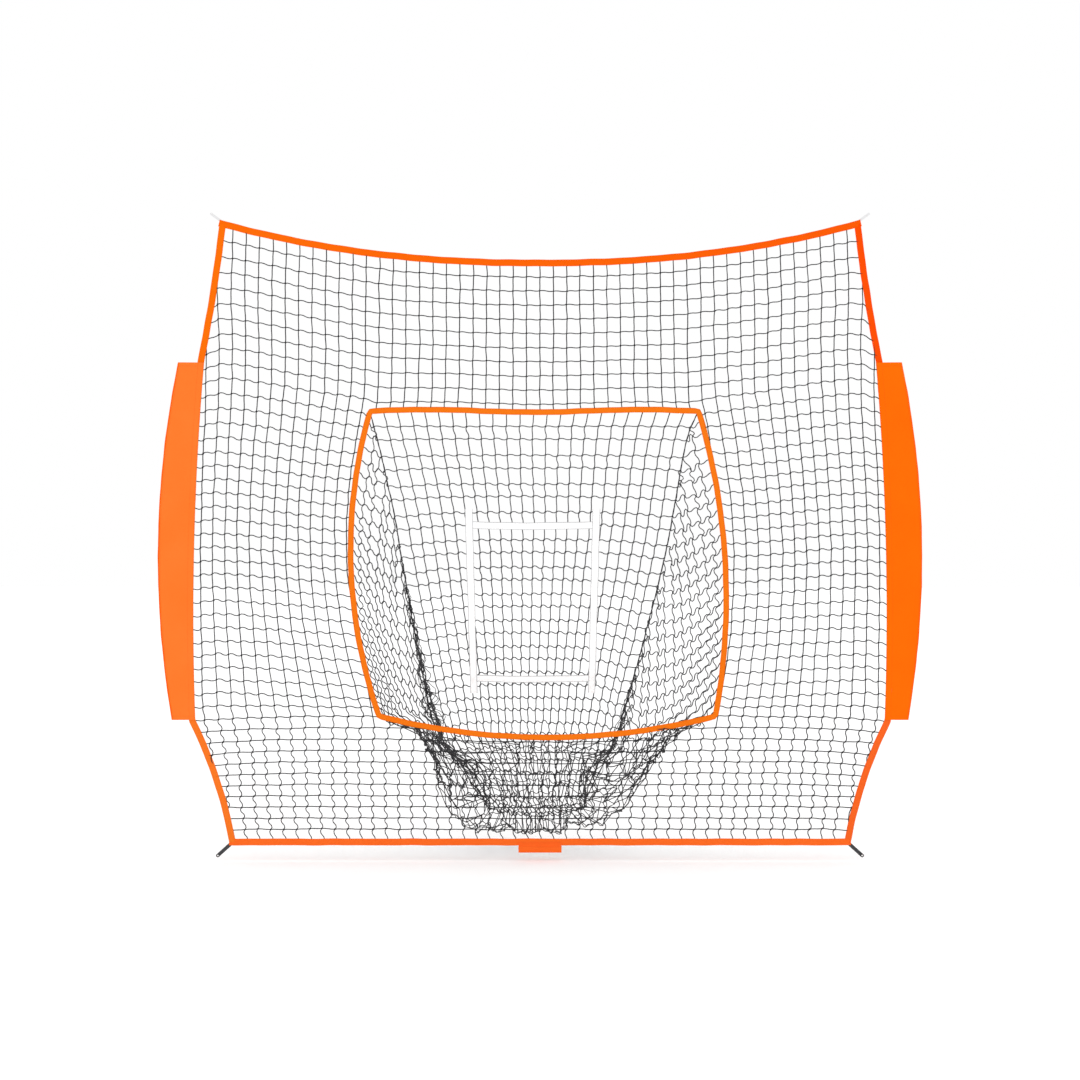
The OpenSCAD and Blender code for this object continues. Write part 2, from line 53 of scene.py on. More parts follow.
from typing import Callable, Iterable, Optional, Sequence

import bpy
import numpy as np

logging.basicConfig(level=logging.INFO, format="%(message)s")
LOG = logging.getLogger("practice_net")

GRAVITY = 9.81
Line = np.ndarray
# stitches along a line, and the way out of the cloth there
StitchRow = tuple[Line, Sequence[float]]


class Side(Enum):
    """The two halves of the net."""

    LEFT = -1
    RIGHT = 1

    @property
    def word(self) -> str:
        """Returns the side's name in small letters."""
        return self.name.lower()


class Twine(Enum):
    """The two ways a twine runs through the netting."""

    ROW = 0
    COLUMN = 1


# ---- lines ----


def bowed(a: Sequence[float], b: Sequence[float], bow: float, steps: int = 24) -> Line:
    """Draws a line from a to b that bows to the left of its way.

    Args:
        a: First point.
        b: Last point.
        bow: Height of the bow.
        steps: Number of stretches.

    Returns:
        The points, one a row.
    """
    a, b = np.array(a, float), np.array(b, float)
    t = np.linspace(0.0, 1.0, steps + 1)[:, None]
    way = b - a
    aside = np.array([-way[1], way[0]]) / np.hypot(*way)
    return a + way * t + aside * bow * 4 * t * (1 - t)


def run_of(line: Line) -> np.ndarray:
    """Returns the distance of each point along a line."""
    steps = np.linalg.norm(np.diff(line, axis=0), axis=1)
    return np.concatenate([[0.0], np.cumsum(steps)])


def at(line: Line, share: np.ndarray | float) -> Line:
    """Returns the points of a line at shares of its length."""
    run = run_of(line)
    wanted = np.asarray(share) * run[-1]
    return np.stack([np.interp(wanted, run, line[:, k]) for k in range(line.shape[1])], -1)


def unit(vectors: Line) -> Line:
    """Returns vectors, one a row, at a length of 1."""
    return vectors / np.linalg.norm(vectors, axis=1)[:, None]


def left_of(line: Line) -> Line:
    """Returns the unit vectors to the left of a flat line, one for each point."""
    way = unit(np.gradient(line, axis=0))
    return np.column_stack([-way[:, 1], way[:, 0]])


def standing(line: Line, depth: np.ndarray | float = 0.0) -> Line:
    """Returns a flat line of X and Z stood upright at a depth."""
    return np.column_stack([line[:, 0], np.full(len(line), depth), line[:, 1]])


def smooth_step(value: np.ndarray | float, low: float, high: float) -> np.ndarray:
    """Returns 0 up to low, 1 beyond high, and an even ease between them. High may be the lesser one."""
    t = np.clip((np.asarray(value, float) - low) / (high - low), 0, 1)
    return t * t * (3 - 2 * t)


def ripple(run: np.ndarray, length: float, seed: int) -> np.ndarray:
    """Gives an uneven wave, as cloth has.

    Args:
        run: Distances along the piece.
        length: Usual length of a wave.
        seed: Number that picks the wave.

    Returns:
        Heights between about -1 and 1.
    """
    rng = np.random.default_rng(seed)
    total = np.zeros_like(run, float)
    for share in (0.7, 1.0, 1.6):
        phase, height = rng.uniform(0, 6.28), rng.uniform(0.3, 0.7)
        total += np.sin(2 * math.pi * run / (length * share) + phase) * height
    return total / 1.4


# ---- plan of the net ----


@dataclass(frozen=True)
class NetPlan:
    """The lines that the tapes, the netting and the sleeves follow."""

    top_width: float = 2.118
    bottom_width: float = 2.052
    top_z: float = 2.077
    low_z: float = 0.012
    top_sag: float = 0.132
    sag_power: float = 2.2
    hem_width: float = 0.022
    sleeve_low: float = 0.426
    sleeve_high: float = 1.606
    mouth_high: float = 1.445
    mouth_low: float = 0.438
    mouth_sag: float = 0.070
    mouth_wave: float = 0.0045
    wall_slope: float = 0.357
    front_y: float = 0.0033
    # how far the sleeve's ends lie outside the foot and the head of the side hem
    sleeve_out: tuple[float, float] = (0.134, 0.072)
    # bows of the side hem below, along and above the sleeve
    hem_bows: tuple[float, float, float] = (0.015, -0.018, 0.005)
    # how far the sleeve's outer seam lies outside the hem, below and above, and its bow
    seam_out: tuple[float, float] = (0.066, 0.074)
    seam_bow: float = -0.056
    # middle and half width of the mouth, below and above, and the bows of its sides
    mouth_x: tuple[tuple[float, float], tuple[float, float]] = ((0.024, 0.5555), (-0.019, 0.5425))
    mouth_bows: tuple[float, float] = (0.078, -0.060)

    def top_hem_z(self, x: np.ndarray | float) -> np.ndarray:
        """Returns the height of the top hem's middle at x."""
        share = np.minimum(1, np.abs(2 * np.asarray(x) / self.top_width))
        return self.top_z - self.hem_width / 2 - self.top_sag * (1 - share**self.sag_power)

    def top_hem(self) -> Line:
        """Returns the middle of the top hem, from left to right."""
        x = np.linspace(-self.top_width / 2, self.top_width / 2, 61)
        return np.column_stack([x, self.top_hem_z(x)])

    def bottom_hem(self) -> Line:
        """Returns the middle of the bottom hem, from left to right."""
        z = self.low_z + self.hem_width / 2
        x = np.linspace(-self.bottom_width / 2, self.bottom_width / 2, 61)
        return np.column_stack([x, np.full(61, z)])

    def side_corners(self) -> list[Line]:
        """Returns the right side hem's foot, sleeve and head corners, from low to high."""
        foot = np.array([(self.bottom_width - self.hem_width) / 2, self.low_z + self.hem_width / 2])
        head = np.array([(self.top_width - self.hem_width) / 2, self.top_z - 0.7 * self.hem_width])
        return [
            foot,
            np.array([foot[0] + self.sleeve_out[0], self.sleeve_low]),
            np.array([head[0] + self.sleeve_out[1], self.sleeve_high]),
            head,
        ]

    def sleeve_run(self) -> Line:
        """Returns the right side hem along its sleeve, from low to high."""
        _, low, high, _ = self.side_corners()
        return bowed(low, high, self.hem_bows[1])

    def side_hem(self, side: Side) -> Line:
        """Returns the middle of a side hem, from low to high."""
        foot, low, high, head = self.side_corners()
        below, above = bowed(foot, low, self.hem_bows[0], 10), bowed(high, head, self.hem_bows[2], 10)
        return np.concatenate([below, self.sleeve_run()[1:], above[1:]]) * [side.value, 1]

    def sleeve_outer(self) -> Line:
        """Returns the outer seam of the right sleeve, from low to high."""
        _, low, high, _ = self.side_corners()
        return bowed(low + [self.seam_out[0], 0], high + [self.seam_out[1], 0], self.seam_bow)

    def mouth_corner(self, side: Side, high: bool) -> Line:
        """Returns the X and Z of a top corner of the mouth, or of a bottom one."""
        middle, half = self.mouth_x[high]
        return np.array([middle + side.value * half, self.mouth_high if high else self.mouth_low])

    def mouth_side(self, side: Side) -> Line:
        """Returns a side edge of the mouth, from low to high."""
        return bowed(self.mouth_corner(side, False), self.mouth_corner(side, True),
                     self.mouth_bows[side is Side.RIGHT])

    def mouth_top(self) -> Line:
        """Returns the top edge of the mouth, from left to right."""
        line = bowed(self.mouth_corner(Side.LEFT, True), self.mouth_corner(Side.RIGHT, True), 0.001)
        line[:, 1] += self.mouth_wave * np.sin(3 * math.pi * np.linspace(0, 1, len(line)))
        return line

    def mouth_bottom(self) -> Line:
        """Returns the bottom edge of the mouth, from left to right."""
        corners = [self.mouth_corner(side, False) for side in Side]
        return bowed(*corners, -self.mouth_sag)

    def wall_y(self, z: np.ndarray | float) -> np.ndarray:
        """Returns the depth of the back wall's plane at a height."""
        return self.front_y + self.wall_slope * (self.mouth_high - np.asarray(z))


PLAN = NetPlan()


# ---- shader maths ----


class Signal:
    """One output of a node tree. Arithmetic on it adds Math nodes."""

    def __init__(self, recipe: "Recipe", socket: bpy.types.NodeSocket) -> None:
        """Keeps the socket and the recipe that it belongs to."""
        self.recipe = recipe
        self.socket = socket

    def _maths(self, operation: str, *values: object) -> "Signal":
        """Returns the value of a new Math node on signals and numbers."""
        return self.recipe.node("ShaderNodeMath", {"operation": operation}, dict(enumerate(values)))

    def __add__(self, other: object) -> "Signal":
        """Returns the sum."""
        return self._maths("ADD", self, other)

    def __mul__(self, other: object) -> "Signal":
        """Returns the product."""
        return self._maths("MULTIPLY", self, other)

    def __sub__(self, other: object) -> "Signal":
        """Returns the difference."""
        return self._maths("SUBTRACT", self, other)

    def __rsub__(self, other: object) -> "Signal":
        """Returns the difference the other way round."""
        return self._maths("SUBTRACT", other, self)

    def __abs__(self) -> "Signal":
        """Returns the size without its sign."""
        return self._maths("ABSOLUTE", self)

    __radd__ = __add__
    __rmul__ = __mul__


class Recipe:
    """A material in the making, with one Principled shader."""

    def __init__(self, name: str) -> None:
        """Starts an empty material with a name."""
        self.material = bpy.data.materials.new(name)
        self.material.use_nodes = True
        self.tree = self.material.node_tree
        self.shader = self.tree.nodes["Principled BSDF"]

    def node(
        self, kind: str, settings: dict[str, object], inputs: dict[object, object], output: object = 0
    ) -> Signal:
        """Adds a node.

        Args:
            kind: Blender's type name.
            settings: Attributes, set first.
            inputs: Signals or values by socket name or number.
            output: Which output to return.

        Returns:
            The chosen output.
        """
        made = self.tree.nodes.new(kind)
        for name, value in settings.items():
            setattr(made, name, value)
        for name, value in inputs.items():
            self.feed(made.inputs[name], value)
        return Signal(self, made.outputs[output])

    def feed(self, socket: bpy.types.NodeSocket, value: object) -> None:
        """Links a signal to a socket or sets a plain value on it."""
        if isinstance(value, Signal):
            self.tree.links.new(value.socket, socket)
        else:
            socket.default_value = value

    def place(self, name: str = "Object") -> Signal:
        """Returns a texture coordinate by its name."""
        return self.node("ShaderNodeTexCoord", {}, {}, name)

    def part(self, place: Signal, axis: str) -> Signal:
        """Returns a coordinate along one axis."""
        return self.node("ShaderNodeSeparateXYZ", {}, {"Vector": place}, axis)

    def span(self, value: Signal, low: float, high: float) -> Signal:
        """Returns 0 for a value at low, 1 for one at high, and an even change between them."""
        return self.node("ShaderNodeMapRange", {}, {"Value": value, "From Min": low, "From Max": high})

    def noise(self, place: Signal, scale: float, detail: float = 2.0) -> Signal:
        """Returns a noise value around a half."""
        return self.node("ShaderNodeTexNoise", {}, {"Vector": place, "Scale": scale, "Detail": detail})

    def ribs(self, place: Signal, period: float, axis: str) -> Signal:
        """Returns even ribs, from 0 to 1, a period apart across an axis or the DIAGONAL."""
        settings = {"wave_type": "BANDS", "bands_direction": axis}
        # at a scale of 1, the bands of a wave texture are pi / 10 apart
        return self.node("ShaderNodeTexWave", settings, {"Vector": place, "Scale": math.pi / 10 / period}, 1)

    def mix(self, share: object, first: object, second: object) -> Signal:
        """Returns a mix of two colours."""
        return self.node("ShaderNodeMix", {"data_type": "RGBA"}, {0: share, 6: first, 7: second}, 2)

    def bump(self, height: Signal, strength: float, distance: float) -> None:
        """Roughens the surface by a height signal."""
        inputs = {"Height": height, "Strength": strength, "Distance": distance}
        self.feed(self.shader.inputs["Normal"], self.node("ShaderNodeBump", {}, inputs))

    def finish(self, **sockets: object) -> bpy.types.Material:
        """Sets the shader's sockets by name, with _ for a space, and returns the material."""
        for name, value in sockets.items():
            self.feed(self.shader.inputs[name.replace("_", " ")], value)
        return self.material


def dye(red: int, green: int, blue: int) -> tuple[float, float, float, float]:
    """Turns a colour of 0 to 255 a channel into linear light."""
    linear = [((c / 255 + 0.055) / 1.055) ** 2.4 if c > 10 else c / 3294.6 for c in (red, green, blue)]
    return (*linear, 1.0)


def shaded(colour: Sequence[float], light: float) -> tuple[float, ...]:
    """Returns a colour made lighter or darker, with its alpha kept."""
    return (*(min(1.0, c * light) for c in colour[:3]), 1.0)


@dataclass(frozen=True)
class WovenFinish:
    """Tape, sleeve cloth or webbing: two sets of threads, faint shade and a little sheen."""

    name: str
    colour: tuple[float, ...]
    shade: tuple[float, ...]
    thread: float = 0.0009
    ribbed: bool = False
    rough: float = 0.75
    relief: float = 0.35
    # a strap's own width, how much of it the painted shadow at each edge takes up, and that painted shadow's
    # tone
    breadth: float = 0.025
    selvedge: float = 0.0
    selvedge_tone: tuple[float, ...] = (0.25, 0.25, 0.26, 1.0)
    # painted light: the yarn glows a little, so that it reads whiter than the lamps alone make it
    glow: float = 0.0
    # the dye lot changes along the piece: the far colour, and the axis and places it changes between
    far: Optional[tuple[float, ...]] = None
    far_axis: str = "Z"
    far_from: tuple[float, float] = (1.30, 0.60)

    def make(self) -> bpy.types.Material:
        """Returns the material. Its UV map is in metres, U along the piece."""
        recipe = Recipe(self.name)
        lay, body = recipe.place("UV"), recipe.place()
        warp = recipe.ribs(lay, self.thread, "X")
        weft = recipe.ribs(lay, self.thread * (2.5 if self.ribbed else 1.0), "Y")
        weave = warp * 0.7 + weft * 0.3 if self.ribbed else warp * (1.0 - weft) + weft * (1.0 - warp)
        cloud = recipe.noise(body, 9.0, 3.0)
        fibre = recipe.noise(body, 700.0)
        wear = recipe.span(cloud, 0.3, 0.75) * 0.7 + weave * 0.3
        tone = recipe.mix(wear, self.colour, self.shade)
        if self.far:
            share = recipe.span(recipe.part(body, self.far_axis), *self.far_from)
            tone = recipe.mix(share, tone, recipe.mix(wear, self.far, shaded(self.far, 0.95)))
        tone = recipe.mix(fibre * 0.10, tone, shaded(self.shade, 0.8))
        # painted shadow: the strap darkens to a grey tone towards both edges
        if self.selvedge:
            half = self.breadth / 2
            edge = recipe.span(abs(recipe.part(lay, "Y") - half), half - self.selvedge, half)
            tone = recipe.mix(edge, tone, self.selvedge_tone)
        recipe.bump(weave * 0.8 + fibre * 0.25, self.relief, 0.0004)
        return recipe.finish(
            Base_Color=tone,
            Roughness=self.rough - 0.12 * (1.0 - cloud),
            Specular_IOR_Level=0.04,
            # painted light: the cloth glows in its own colour by the painted glow
            Emission_Color=self.colour,
            Emission_Strength=self.glow,
        )


@dataclass(frozen=True)
class TwineFinish:
    """Laid polyester twine, dark, with fine turns of its strands."""

    name: str
    colour: tuple[float, ...]
    light: tuple[float, ...]
    turn: float = 0.0022

    def make(self) -> bpy.types.Material:
        """Returns the material."""
        recipe = Recipe(self.name)
        body = recipe.place()
        lay = recipe.ribs(body, self.turn, "DIAGONAL")
        cloud = recipe.noise(body, 40.0)
        fuzz = recipe.noise(body, 900.0)
        tone = recipe.mix(lay * 0.35 + fuzz * 0.25 + cloud * 0.2, self.colour, self.light)
        recipe.bump(lay + fuzz * 0.4, 0.5, 0.0003)
        return recipe.finish(Base_Color=tone, Roughness=0.75 + fuzz * 0.2, Specular_IOR_Level=0.03)


@dataclass(frozen=True)
class PileFinish:
    """Hook or loop fastener with a short dark pile."""

    name: str
    colour: tuple[float, ...]
    light: tuple[float, ...]

    def make(self) -> bpy.types.Material:
        """Returns the material."""
        recipe = Recipe(self.name)
        body = recipe.place()
        cells = recipe.node("ShaderNodeTexVoronoi", {}, {"Vector": body, "Scale": 900.0})
        fuzz = recipe.noise(body, 1500.0)
        recipe.bump(cells + fuzz * 0.5, 0.8, 0.0006)
        tone = recipe.mix(cells * 0.8, self.colour, self.light)
        return recipe.finish(Base_Color=tone, Roughness=0.85 + fuzz * 0.1, Specular_IOR_Level=0.1)


# hem tapes, each of which has its own dye lot
TOP_TAPE = WovenFinish("top_tape", dye(246, 107, 2), dye(244, 101, 1), 0.0010,
                       far=dye(246, 89, 1), far_axis="X", far_from=(-1.0, 1.0))
LOW_TAPE = WovenFinish("low_tape", dye(250, 110, 38), dye(248, 103, 32), 0.0010)
LEFT_TAPE = WovenFinish("left_tape", dye(246, 112, 4), dye(244, 106, 2), 0.0010, far=dye(246, 120, 37))
RIGHT_TAPE = WovenFinish("right_tape", dye(247, 79, 1), dye(245, 74, 0), 0.0010, far=dye(245, 102, 36))
# the mouth, the base loop and the sleeves
EDGE_TAPE = WovenFinish("mouth_tape", dye(242, 122, 22), dye(240, 113, 14), 0.0010)
LOOP_TAPE = WovenFinish("base_loop_tape", dye(254, 110, 40), dye(249, 98, 30), 0.0014)
CLOTH_LEFT = WovenFinish("sleeve_cloth_left", dye(250, 123, 46), dye(249, 117, 39), 0.0006,
                         rough=0.7, relief=0.2)
CLOTH_RIGHT = WovenFinish("sleeve_cloth_right", dye(252, 109, 0), dye(251, 102, 0), 0.0006,
                          rough=0.7, relief=0.2)
SEAM_TAPE = WovenFinish("sleeve_seam", dye(252, 104, 20), dye(248, 92, 12), 0.0008)
# the target's straps and the corner tabs
# the straps carry a painted shadow along both edges and a painted glow
WEBBING = WovenFinish("white_webbing", dye(255, 255, 255), dye(252, 252, 252), 0.0016,
                      ribbed=True, relief=0.2, selvedge=0.004, glow=0.19)
BRAID_DARK = WovenFinish("dark_braid", dye(46, 46, 48), dye(84, 84, 86), 0.0015, ribbed=True)
BRAID_LIGHT = WovenFinish("light_braid", dye(232, 232, 232), dye(214, 214, 216), 0.0012, ribbed=True)
CORD = TwineFinish("netting_twine", dye(38, 38, 40), dye(66, 66, 68))
POCKET_CORD = TwineFinish("pocket_twine", dye(62, 62, 64), dye(90, 90, 92))
SEAM_CORD = TwineFinish("seam_twine", dye(38, 38, 40), dye(70, 70, 72), 0.003)
THREAD = TwineFinish("orange_thread", dye(232, 84, 10), dye(250, 120, 40), 0.0006)
THREAD_WHITE = TwineFinish("white_thread", dye(226, 226, 225), dye(244, 244, 243), 0.0006)
PILE = PileFinish("black_pile", dye(24, 24, 25), dye(60, 60, 62))

_MADE: dict[str, bpy.types.Material] = {}


def dress(piece: bpy.types.Object, finish: object) -> None:
    """Gives a piece its finish.

    Args:
        piece: The object.
        finish: A finish with a name and a make method.
    """
    if finish.name not in _MADE:
        _MADE[finish.name] = finish.make()
    piece.data.materials.clear()
    piece.data.materials.append(_MADE[finish.name])


# ---- making meshes ----


def start_clean() -> None:
    """Leaves edit mode and deselects everything."""
    if bpy.context.object and bpy.context.object.mode != "OBJECT":
        bpy.ops.object.mode_set(mode="OBJECT")
    bpy.ops.object.select_all(action="DESELECT")


def pick(piece: bpy.types.Object) -> None:
    """Makes one object the selected and active one."""
    start_clean()
    piece.select_set(True)
    bpy.context.view_layer.objects.active = piece


def points_of(piece: bpy.types.Object) -> Line:
    """Returns a mesh's points, one a row."""
    flat = np.empty(len(piece.data.vertices) * 3)
    piece.data.vertices.foreach_get("co", flat)
    return flat.reshape(-1, 3)


def set_points(piece: bpy.types.Object, points: Line) -> None:
    """Moves a mesh's points."""
    piece.data.vertices.foreach_set("co", np.asarray(points, float).ravel())
    piece.data.update()


def named(name: str) -> bpy.types.Object:
    """Names the active object and its mesh, and returns the object."""
    piece = bpy.context.object
    piece.name = name
    piece.data.name = name
    return piece


def woven_grid(
    name: str,
    columns: int,
    rows: int,
    place: Callable[[np.ndarray, np.ndarray], Line],
    size: tuple[float, float],
) -> bpy.types.Object:
    """Adds a grid and lays it over a surface, with a UV map in metres.

    Args:
        name: The piece's name.
        columns: Faces along the piece.
        rows: Faces across it.
        place: Gives points for shares along and across.
        size: Length and breadth of the cloth.

    Returns:
        The new object.
    """
    start_clean()
    bpy.ops.mesh.primitive_grid_add(x_subdivisions=columns, y_subdivisions=rows, size=2.0, calc_uvs=True)
    piece = named(name)
    share = points_of(piece)[:, :2] / 2 + 0.5
    set_points(piece, place(share[:, 0], share[:, 1]))
    layer = piece.data.uv_layers.active.data
    uv = np.empty(len(layer) * 2)
    layer.foreach_get("uv", uv)
    layer.foreach_set("uv", (uv.reshape(-1, 2) * size).ravel())
    return piece


def apply(piece: bpy.types.Object, kind: str, **settings: object) -> None:
    """Adds a modifier with its settings and applies it."""
    pick(piece)
    modifier = piece.modifiers.new(kind.title(), kind)
    for name, value in settings.items():
        setattr(modifier, name, value)
    bpy.ops.object.modifier_apply(modifier=modifier.name)


def close_up(piece: bpy.types.Object, merge: float = 0.00002, fill: bool = False) -> None:
    """Merges doubles, closes holes if asked, and turns the faces outwards.

    Args:
        piece: The object.
        merge: Distance under which points merge.
        fill: Whether open ends are filled.
    """
    pick(piece)
    bpy.ops.object.mode_set(mode="EDIT")
    bpy.ops.mesh.select_all(action="SELECT")
    bpy.ops.mesh.remove_doubles(threshold=merge)
    if fill:
        bpy.ops.mesh.fill_holes(sides=0)
        bpy.ops.mesh.select_all(action="SELECT")
    bpy.ops.mesh.normals_make_consistent(inside=False)
    bpy.ops.object.mode_set(mode="OBJECT")


def thicken(piece: bpy.types.Object, thick: float, rounding: float = 0.0) -> None:
    """Gives a sheet its thickness about its middle, and round edges if asked."""
    apply(piece, "SOLIDIFY", thickness=thick, offset=0.0)
    if rounding:
        apply(piece, "BEVEL", width=rounding, segments=2, limit_method="ANGLE")


def hand_over(
    piece: bpy.types.Object, finish: object, slot: str, body: str, *nodes: str, sharp: float = 40.0
) -> bpy.types.Object:
    """Shades a piece smooth, dresses it and enters it in the frame.

    Args:
        piece: The object.
        finish: Its finish.
        slot: Not used.
        body: The body that it rides on. Empty for a piece that is blended between two.
        nodes: The CAD nodes that it replaces.
        sharp: Edges above this angle, in degrees, stay sharp.

    Returns:
        The piece.
    """
    pick(piece)
    bpy.ops.object.shade_smooth_by_angle(angle=math.radians(sharp))
    dress(piece, finish)
    if body:
        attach(piece, body)
    if nodes:
        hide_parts(*nodes)
    return piece


def linked(name: str, data: bpy.types.ID) -> bpy.types.Object:
    """Returns a new object in the scene with a mesh, curve, light or camera."""
    piece = bpy.data.objects.new(name, data)
    bpy.context.scene.collection.objects.link(piece)
    return piece


def joined(name: str, pieces: Sequence[bpy.types.Object]) -> bpy.types.Object:
    """Joins pieces into one with a new name."""
    pick(pieces[0])
    for piece in pieces:
        piece.select_set(True)
    bpy.ops.object.join()
    return named(name)


def scattered(name: str, kind: str, turns: np.ndarray, places: Line) -> bpy.types.Object:
    """Models one stitch or one knot, of radius 1, and copies it to many places.

    Args:
        name: The piece's name.
        kind: "stitch" or "knot".
        turns: One 3 by 3 matrix a place.
        places: The places.

    Returns:
        One object with all the copies.
    """
    start_clean()
    if kind == "stitch":
        bpy.ops.mesh.primitive_uv_sphere_add(segments=4, ring_count=4, radius=1.0)
    else:
        bpy.ops.mesh.primitive_ico_sphere_add(subdivisions=1, radius=1.0)
    made = bpy.context.object
    shape, faces = points_of(made), [tuple(face.vertices) for face in made.data.polygons]
    bpy.data.objects.remove(made, do_unlink=True)
    points = (np.einsum("nij,kj->nki", turns, shape) + places[:, None]).reshape(-1, 3)
    every = [tuple(k + n * len(shape) for k in face) for n in range(len(places)) for face in faces]
    mesh = bpy.data.meshes.new(name)
    mesh.from_pydata(points.tolist(), [], every)
    return linked(name, mesh)


def corded(name: str, lines: Iterable[Line], radius: float) -> bpy.types.Object:
    """Returns one object with a round cord along each line."""
    start_clean()
    curve = bpy.data.curves.new(name, "CURVE")
    curve.dimensions = "3D"
    curve.bevel_depth = radius
    curve.bevel_resolution = 1
    curve.use_fill_caps = True
    for line in lines:
        spline = curve.splines.new("POLY")
        spline.points.add(len(line) - 1)
        spline.points.foreach_set("co", np.column_stack([line, np.ones(len(line))]).ravel())
    pick(linked(name, curve))
    bpy.ops.object.convert(target="MESH")
    return bpy.context.object


def sewn_line(
    name: str, rows: Iterable[StitchRow], pace: float, finish: object, slot: str, body: str
) -> bpy.types.Object:
    """Sews rows of stitches.

    Args:
        name: The piece's name.
        rows: For each row its points and the way out of the cloth.
        pace: Distance from one stitch to the next.
        finish: The thread's finish.
        slot: The record's material slot.
        body: The body that the cloth rides on.

    Returns:
        One object with all the stitches.
    """
    turns, places = [], []
    for line, out in rows:
        count = max(2, int(run_of(line)[-1] / pace))
        share = (np.arange(count) + 0.5) / count
        reach = 0.2 / count
        way = unit(at(line, np.minimum(1, share + reach)) - at(line, np.maximum(0, share - reach)))
        lift = unit(out - way * (way @ np.asarray(out))[:, None])
        turns.append(np.stack([way * pace * 0.36, np.cross(lift, way) * 0.00038, lift * 0.00032], -1))
        places.append(at(line, share))
    piece = scattered(name, "stitch", np.concatenate(turns), np.concatenate(places))
    return hand_over(piece, finish, slot, body, sharp=60)


# ---- tapes ----


@dataclass
class Tape:
    """A tape folded over an edge and sewn down, laid along a flat line."""

    name: str
    line: Line
    width: float
    nodes: tuple[str, ...]
    finish: WovenFinish
    bead: bool = True
    closed: bool = False
    thick: float = 0.0024
    seed: int = 1
    # distance between the rows of its grid
    step: float = 0.012

    def section(self) -> Line:
        """Returns the closed outline across the tape: outwards, and back."""
        half, t = self.width / 2, self.thick
        if self.bead:
            front = [(-half, 0.45 * t), (-half + 0.0015, 0.62 * t), (0, 0.66 * t), (half - 0.0065, 0.7 * t),
                     (half - 0.0045, 1.05 * t), (half - 0.0022, 1.1 * t), (half - 0.0006, 0.7 * t)]
            tip = (half, 0.0)
        else:
            front = [(-half, 0.35 * t), (-half + 0.0012, 0.8 * t), (-half + 0.004, 0.95 * t), (0, t),
                     (half - 0.004, 0.95 * t), (half - 0.0012, 0.8 * t), (half, 0.35 * t)]
            tip = (half + 0.0002, 0.0)
        back = [(d, -y) for d, y in reversed(front)]
        return np.array(front + [tip] + back + [front[0]])

    def path(self) -> tuple[Line, Line, np.ndarray]:
        """Returns even points along the line, the ways outwards there, and their distances."""
        length = run_of(self.line)[-1]
        share = np.linspace(0, 1, int(length / self.step) + 1)
        line = at(self.line, share)
        out = left_of(line)
        if self.closed:
            out[0] = out[-1] = (out[0] + out[-1]) / np.linalg.norm(out[0] + out[-1])
        return line, out, share * length

    def build(self) -> bpy.types.Object:
        """Returns the tape's mesh, dressed."""
        line, out, run = self.path()
        length, count = run[-1], len(run) - 1
        section = self.section()
        around = run_of(section)
        sway = ripple(run, 0.13, self.seed) * 0.0007
        swell = 1 + 0.12 * ripple(run, 0.09, self.seed + 50)
        if self.closed:
            ease = smooth_step(run, 0, 0.1) * smooth_step(run, length, length - 0.1)
            sway, swell = sway * ease, 1 + (swell - 1) * ease

        def place(along: np.ndarray, across: np.ndarray) -> Line:
            """Lays the grid round the section and along the line."""
            k = np.rint(along * count).astype(int)
            j = np.rint(across * (len(section) - 1)).astype(int)
            d = section[j, 0] + sway[k]
            flat = line[k] + out[k] * d[:, None]
            return np.column_stack([flat[:, 0], -section[j, 1] * swell[k], flat[:, 1]])

        piece = woven_grid(self.name, count, len(section) - 1, place, (length, around[-1]))
        close_up(piece, fill=not self.closed)
        return hand_over(piece, self.finish, "tape", "net", *self.nodes, sharp=50)

    def stitches(self, *insets: float) -> list[StitchRow]:
        """Returns the stitch rows on both faces, at distances from the tape's inner edge."""
        line, out, _ = self.path()
        lift = self.thick * (0.64 if self.bead else 0.97) + 0.0001
        return [
            (standing(line + out * (inset - self.width / 2), face * lift), (0.0, face, 0.0))
            for inset in insets
            for face in (-1, 1)
        ]


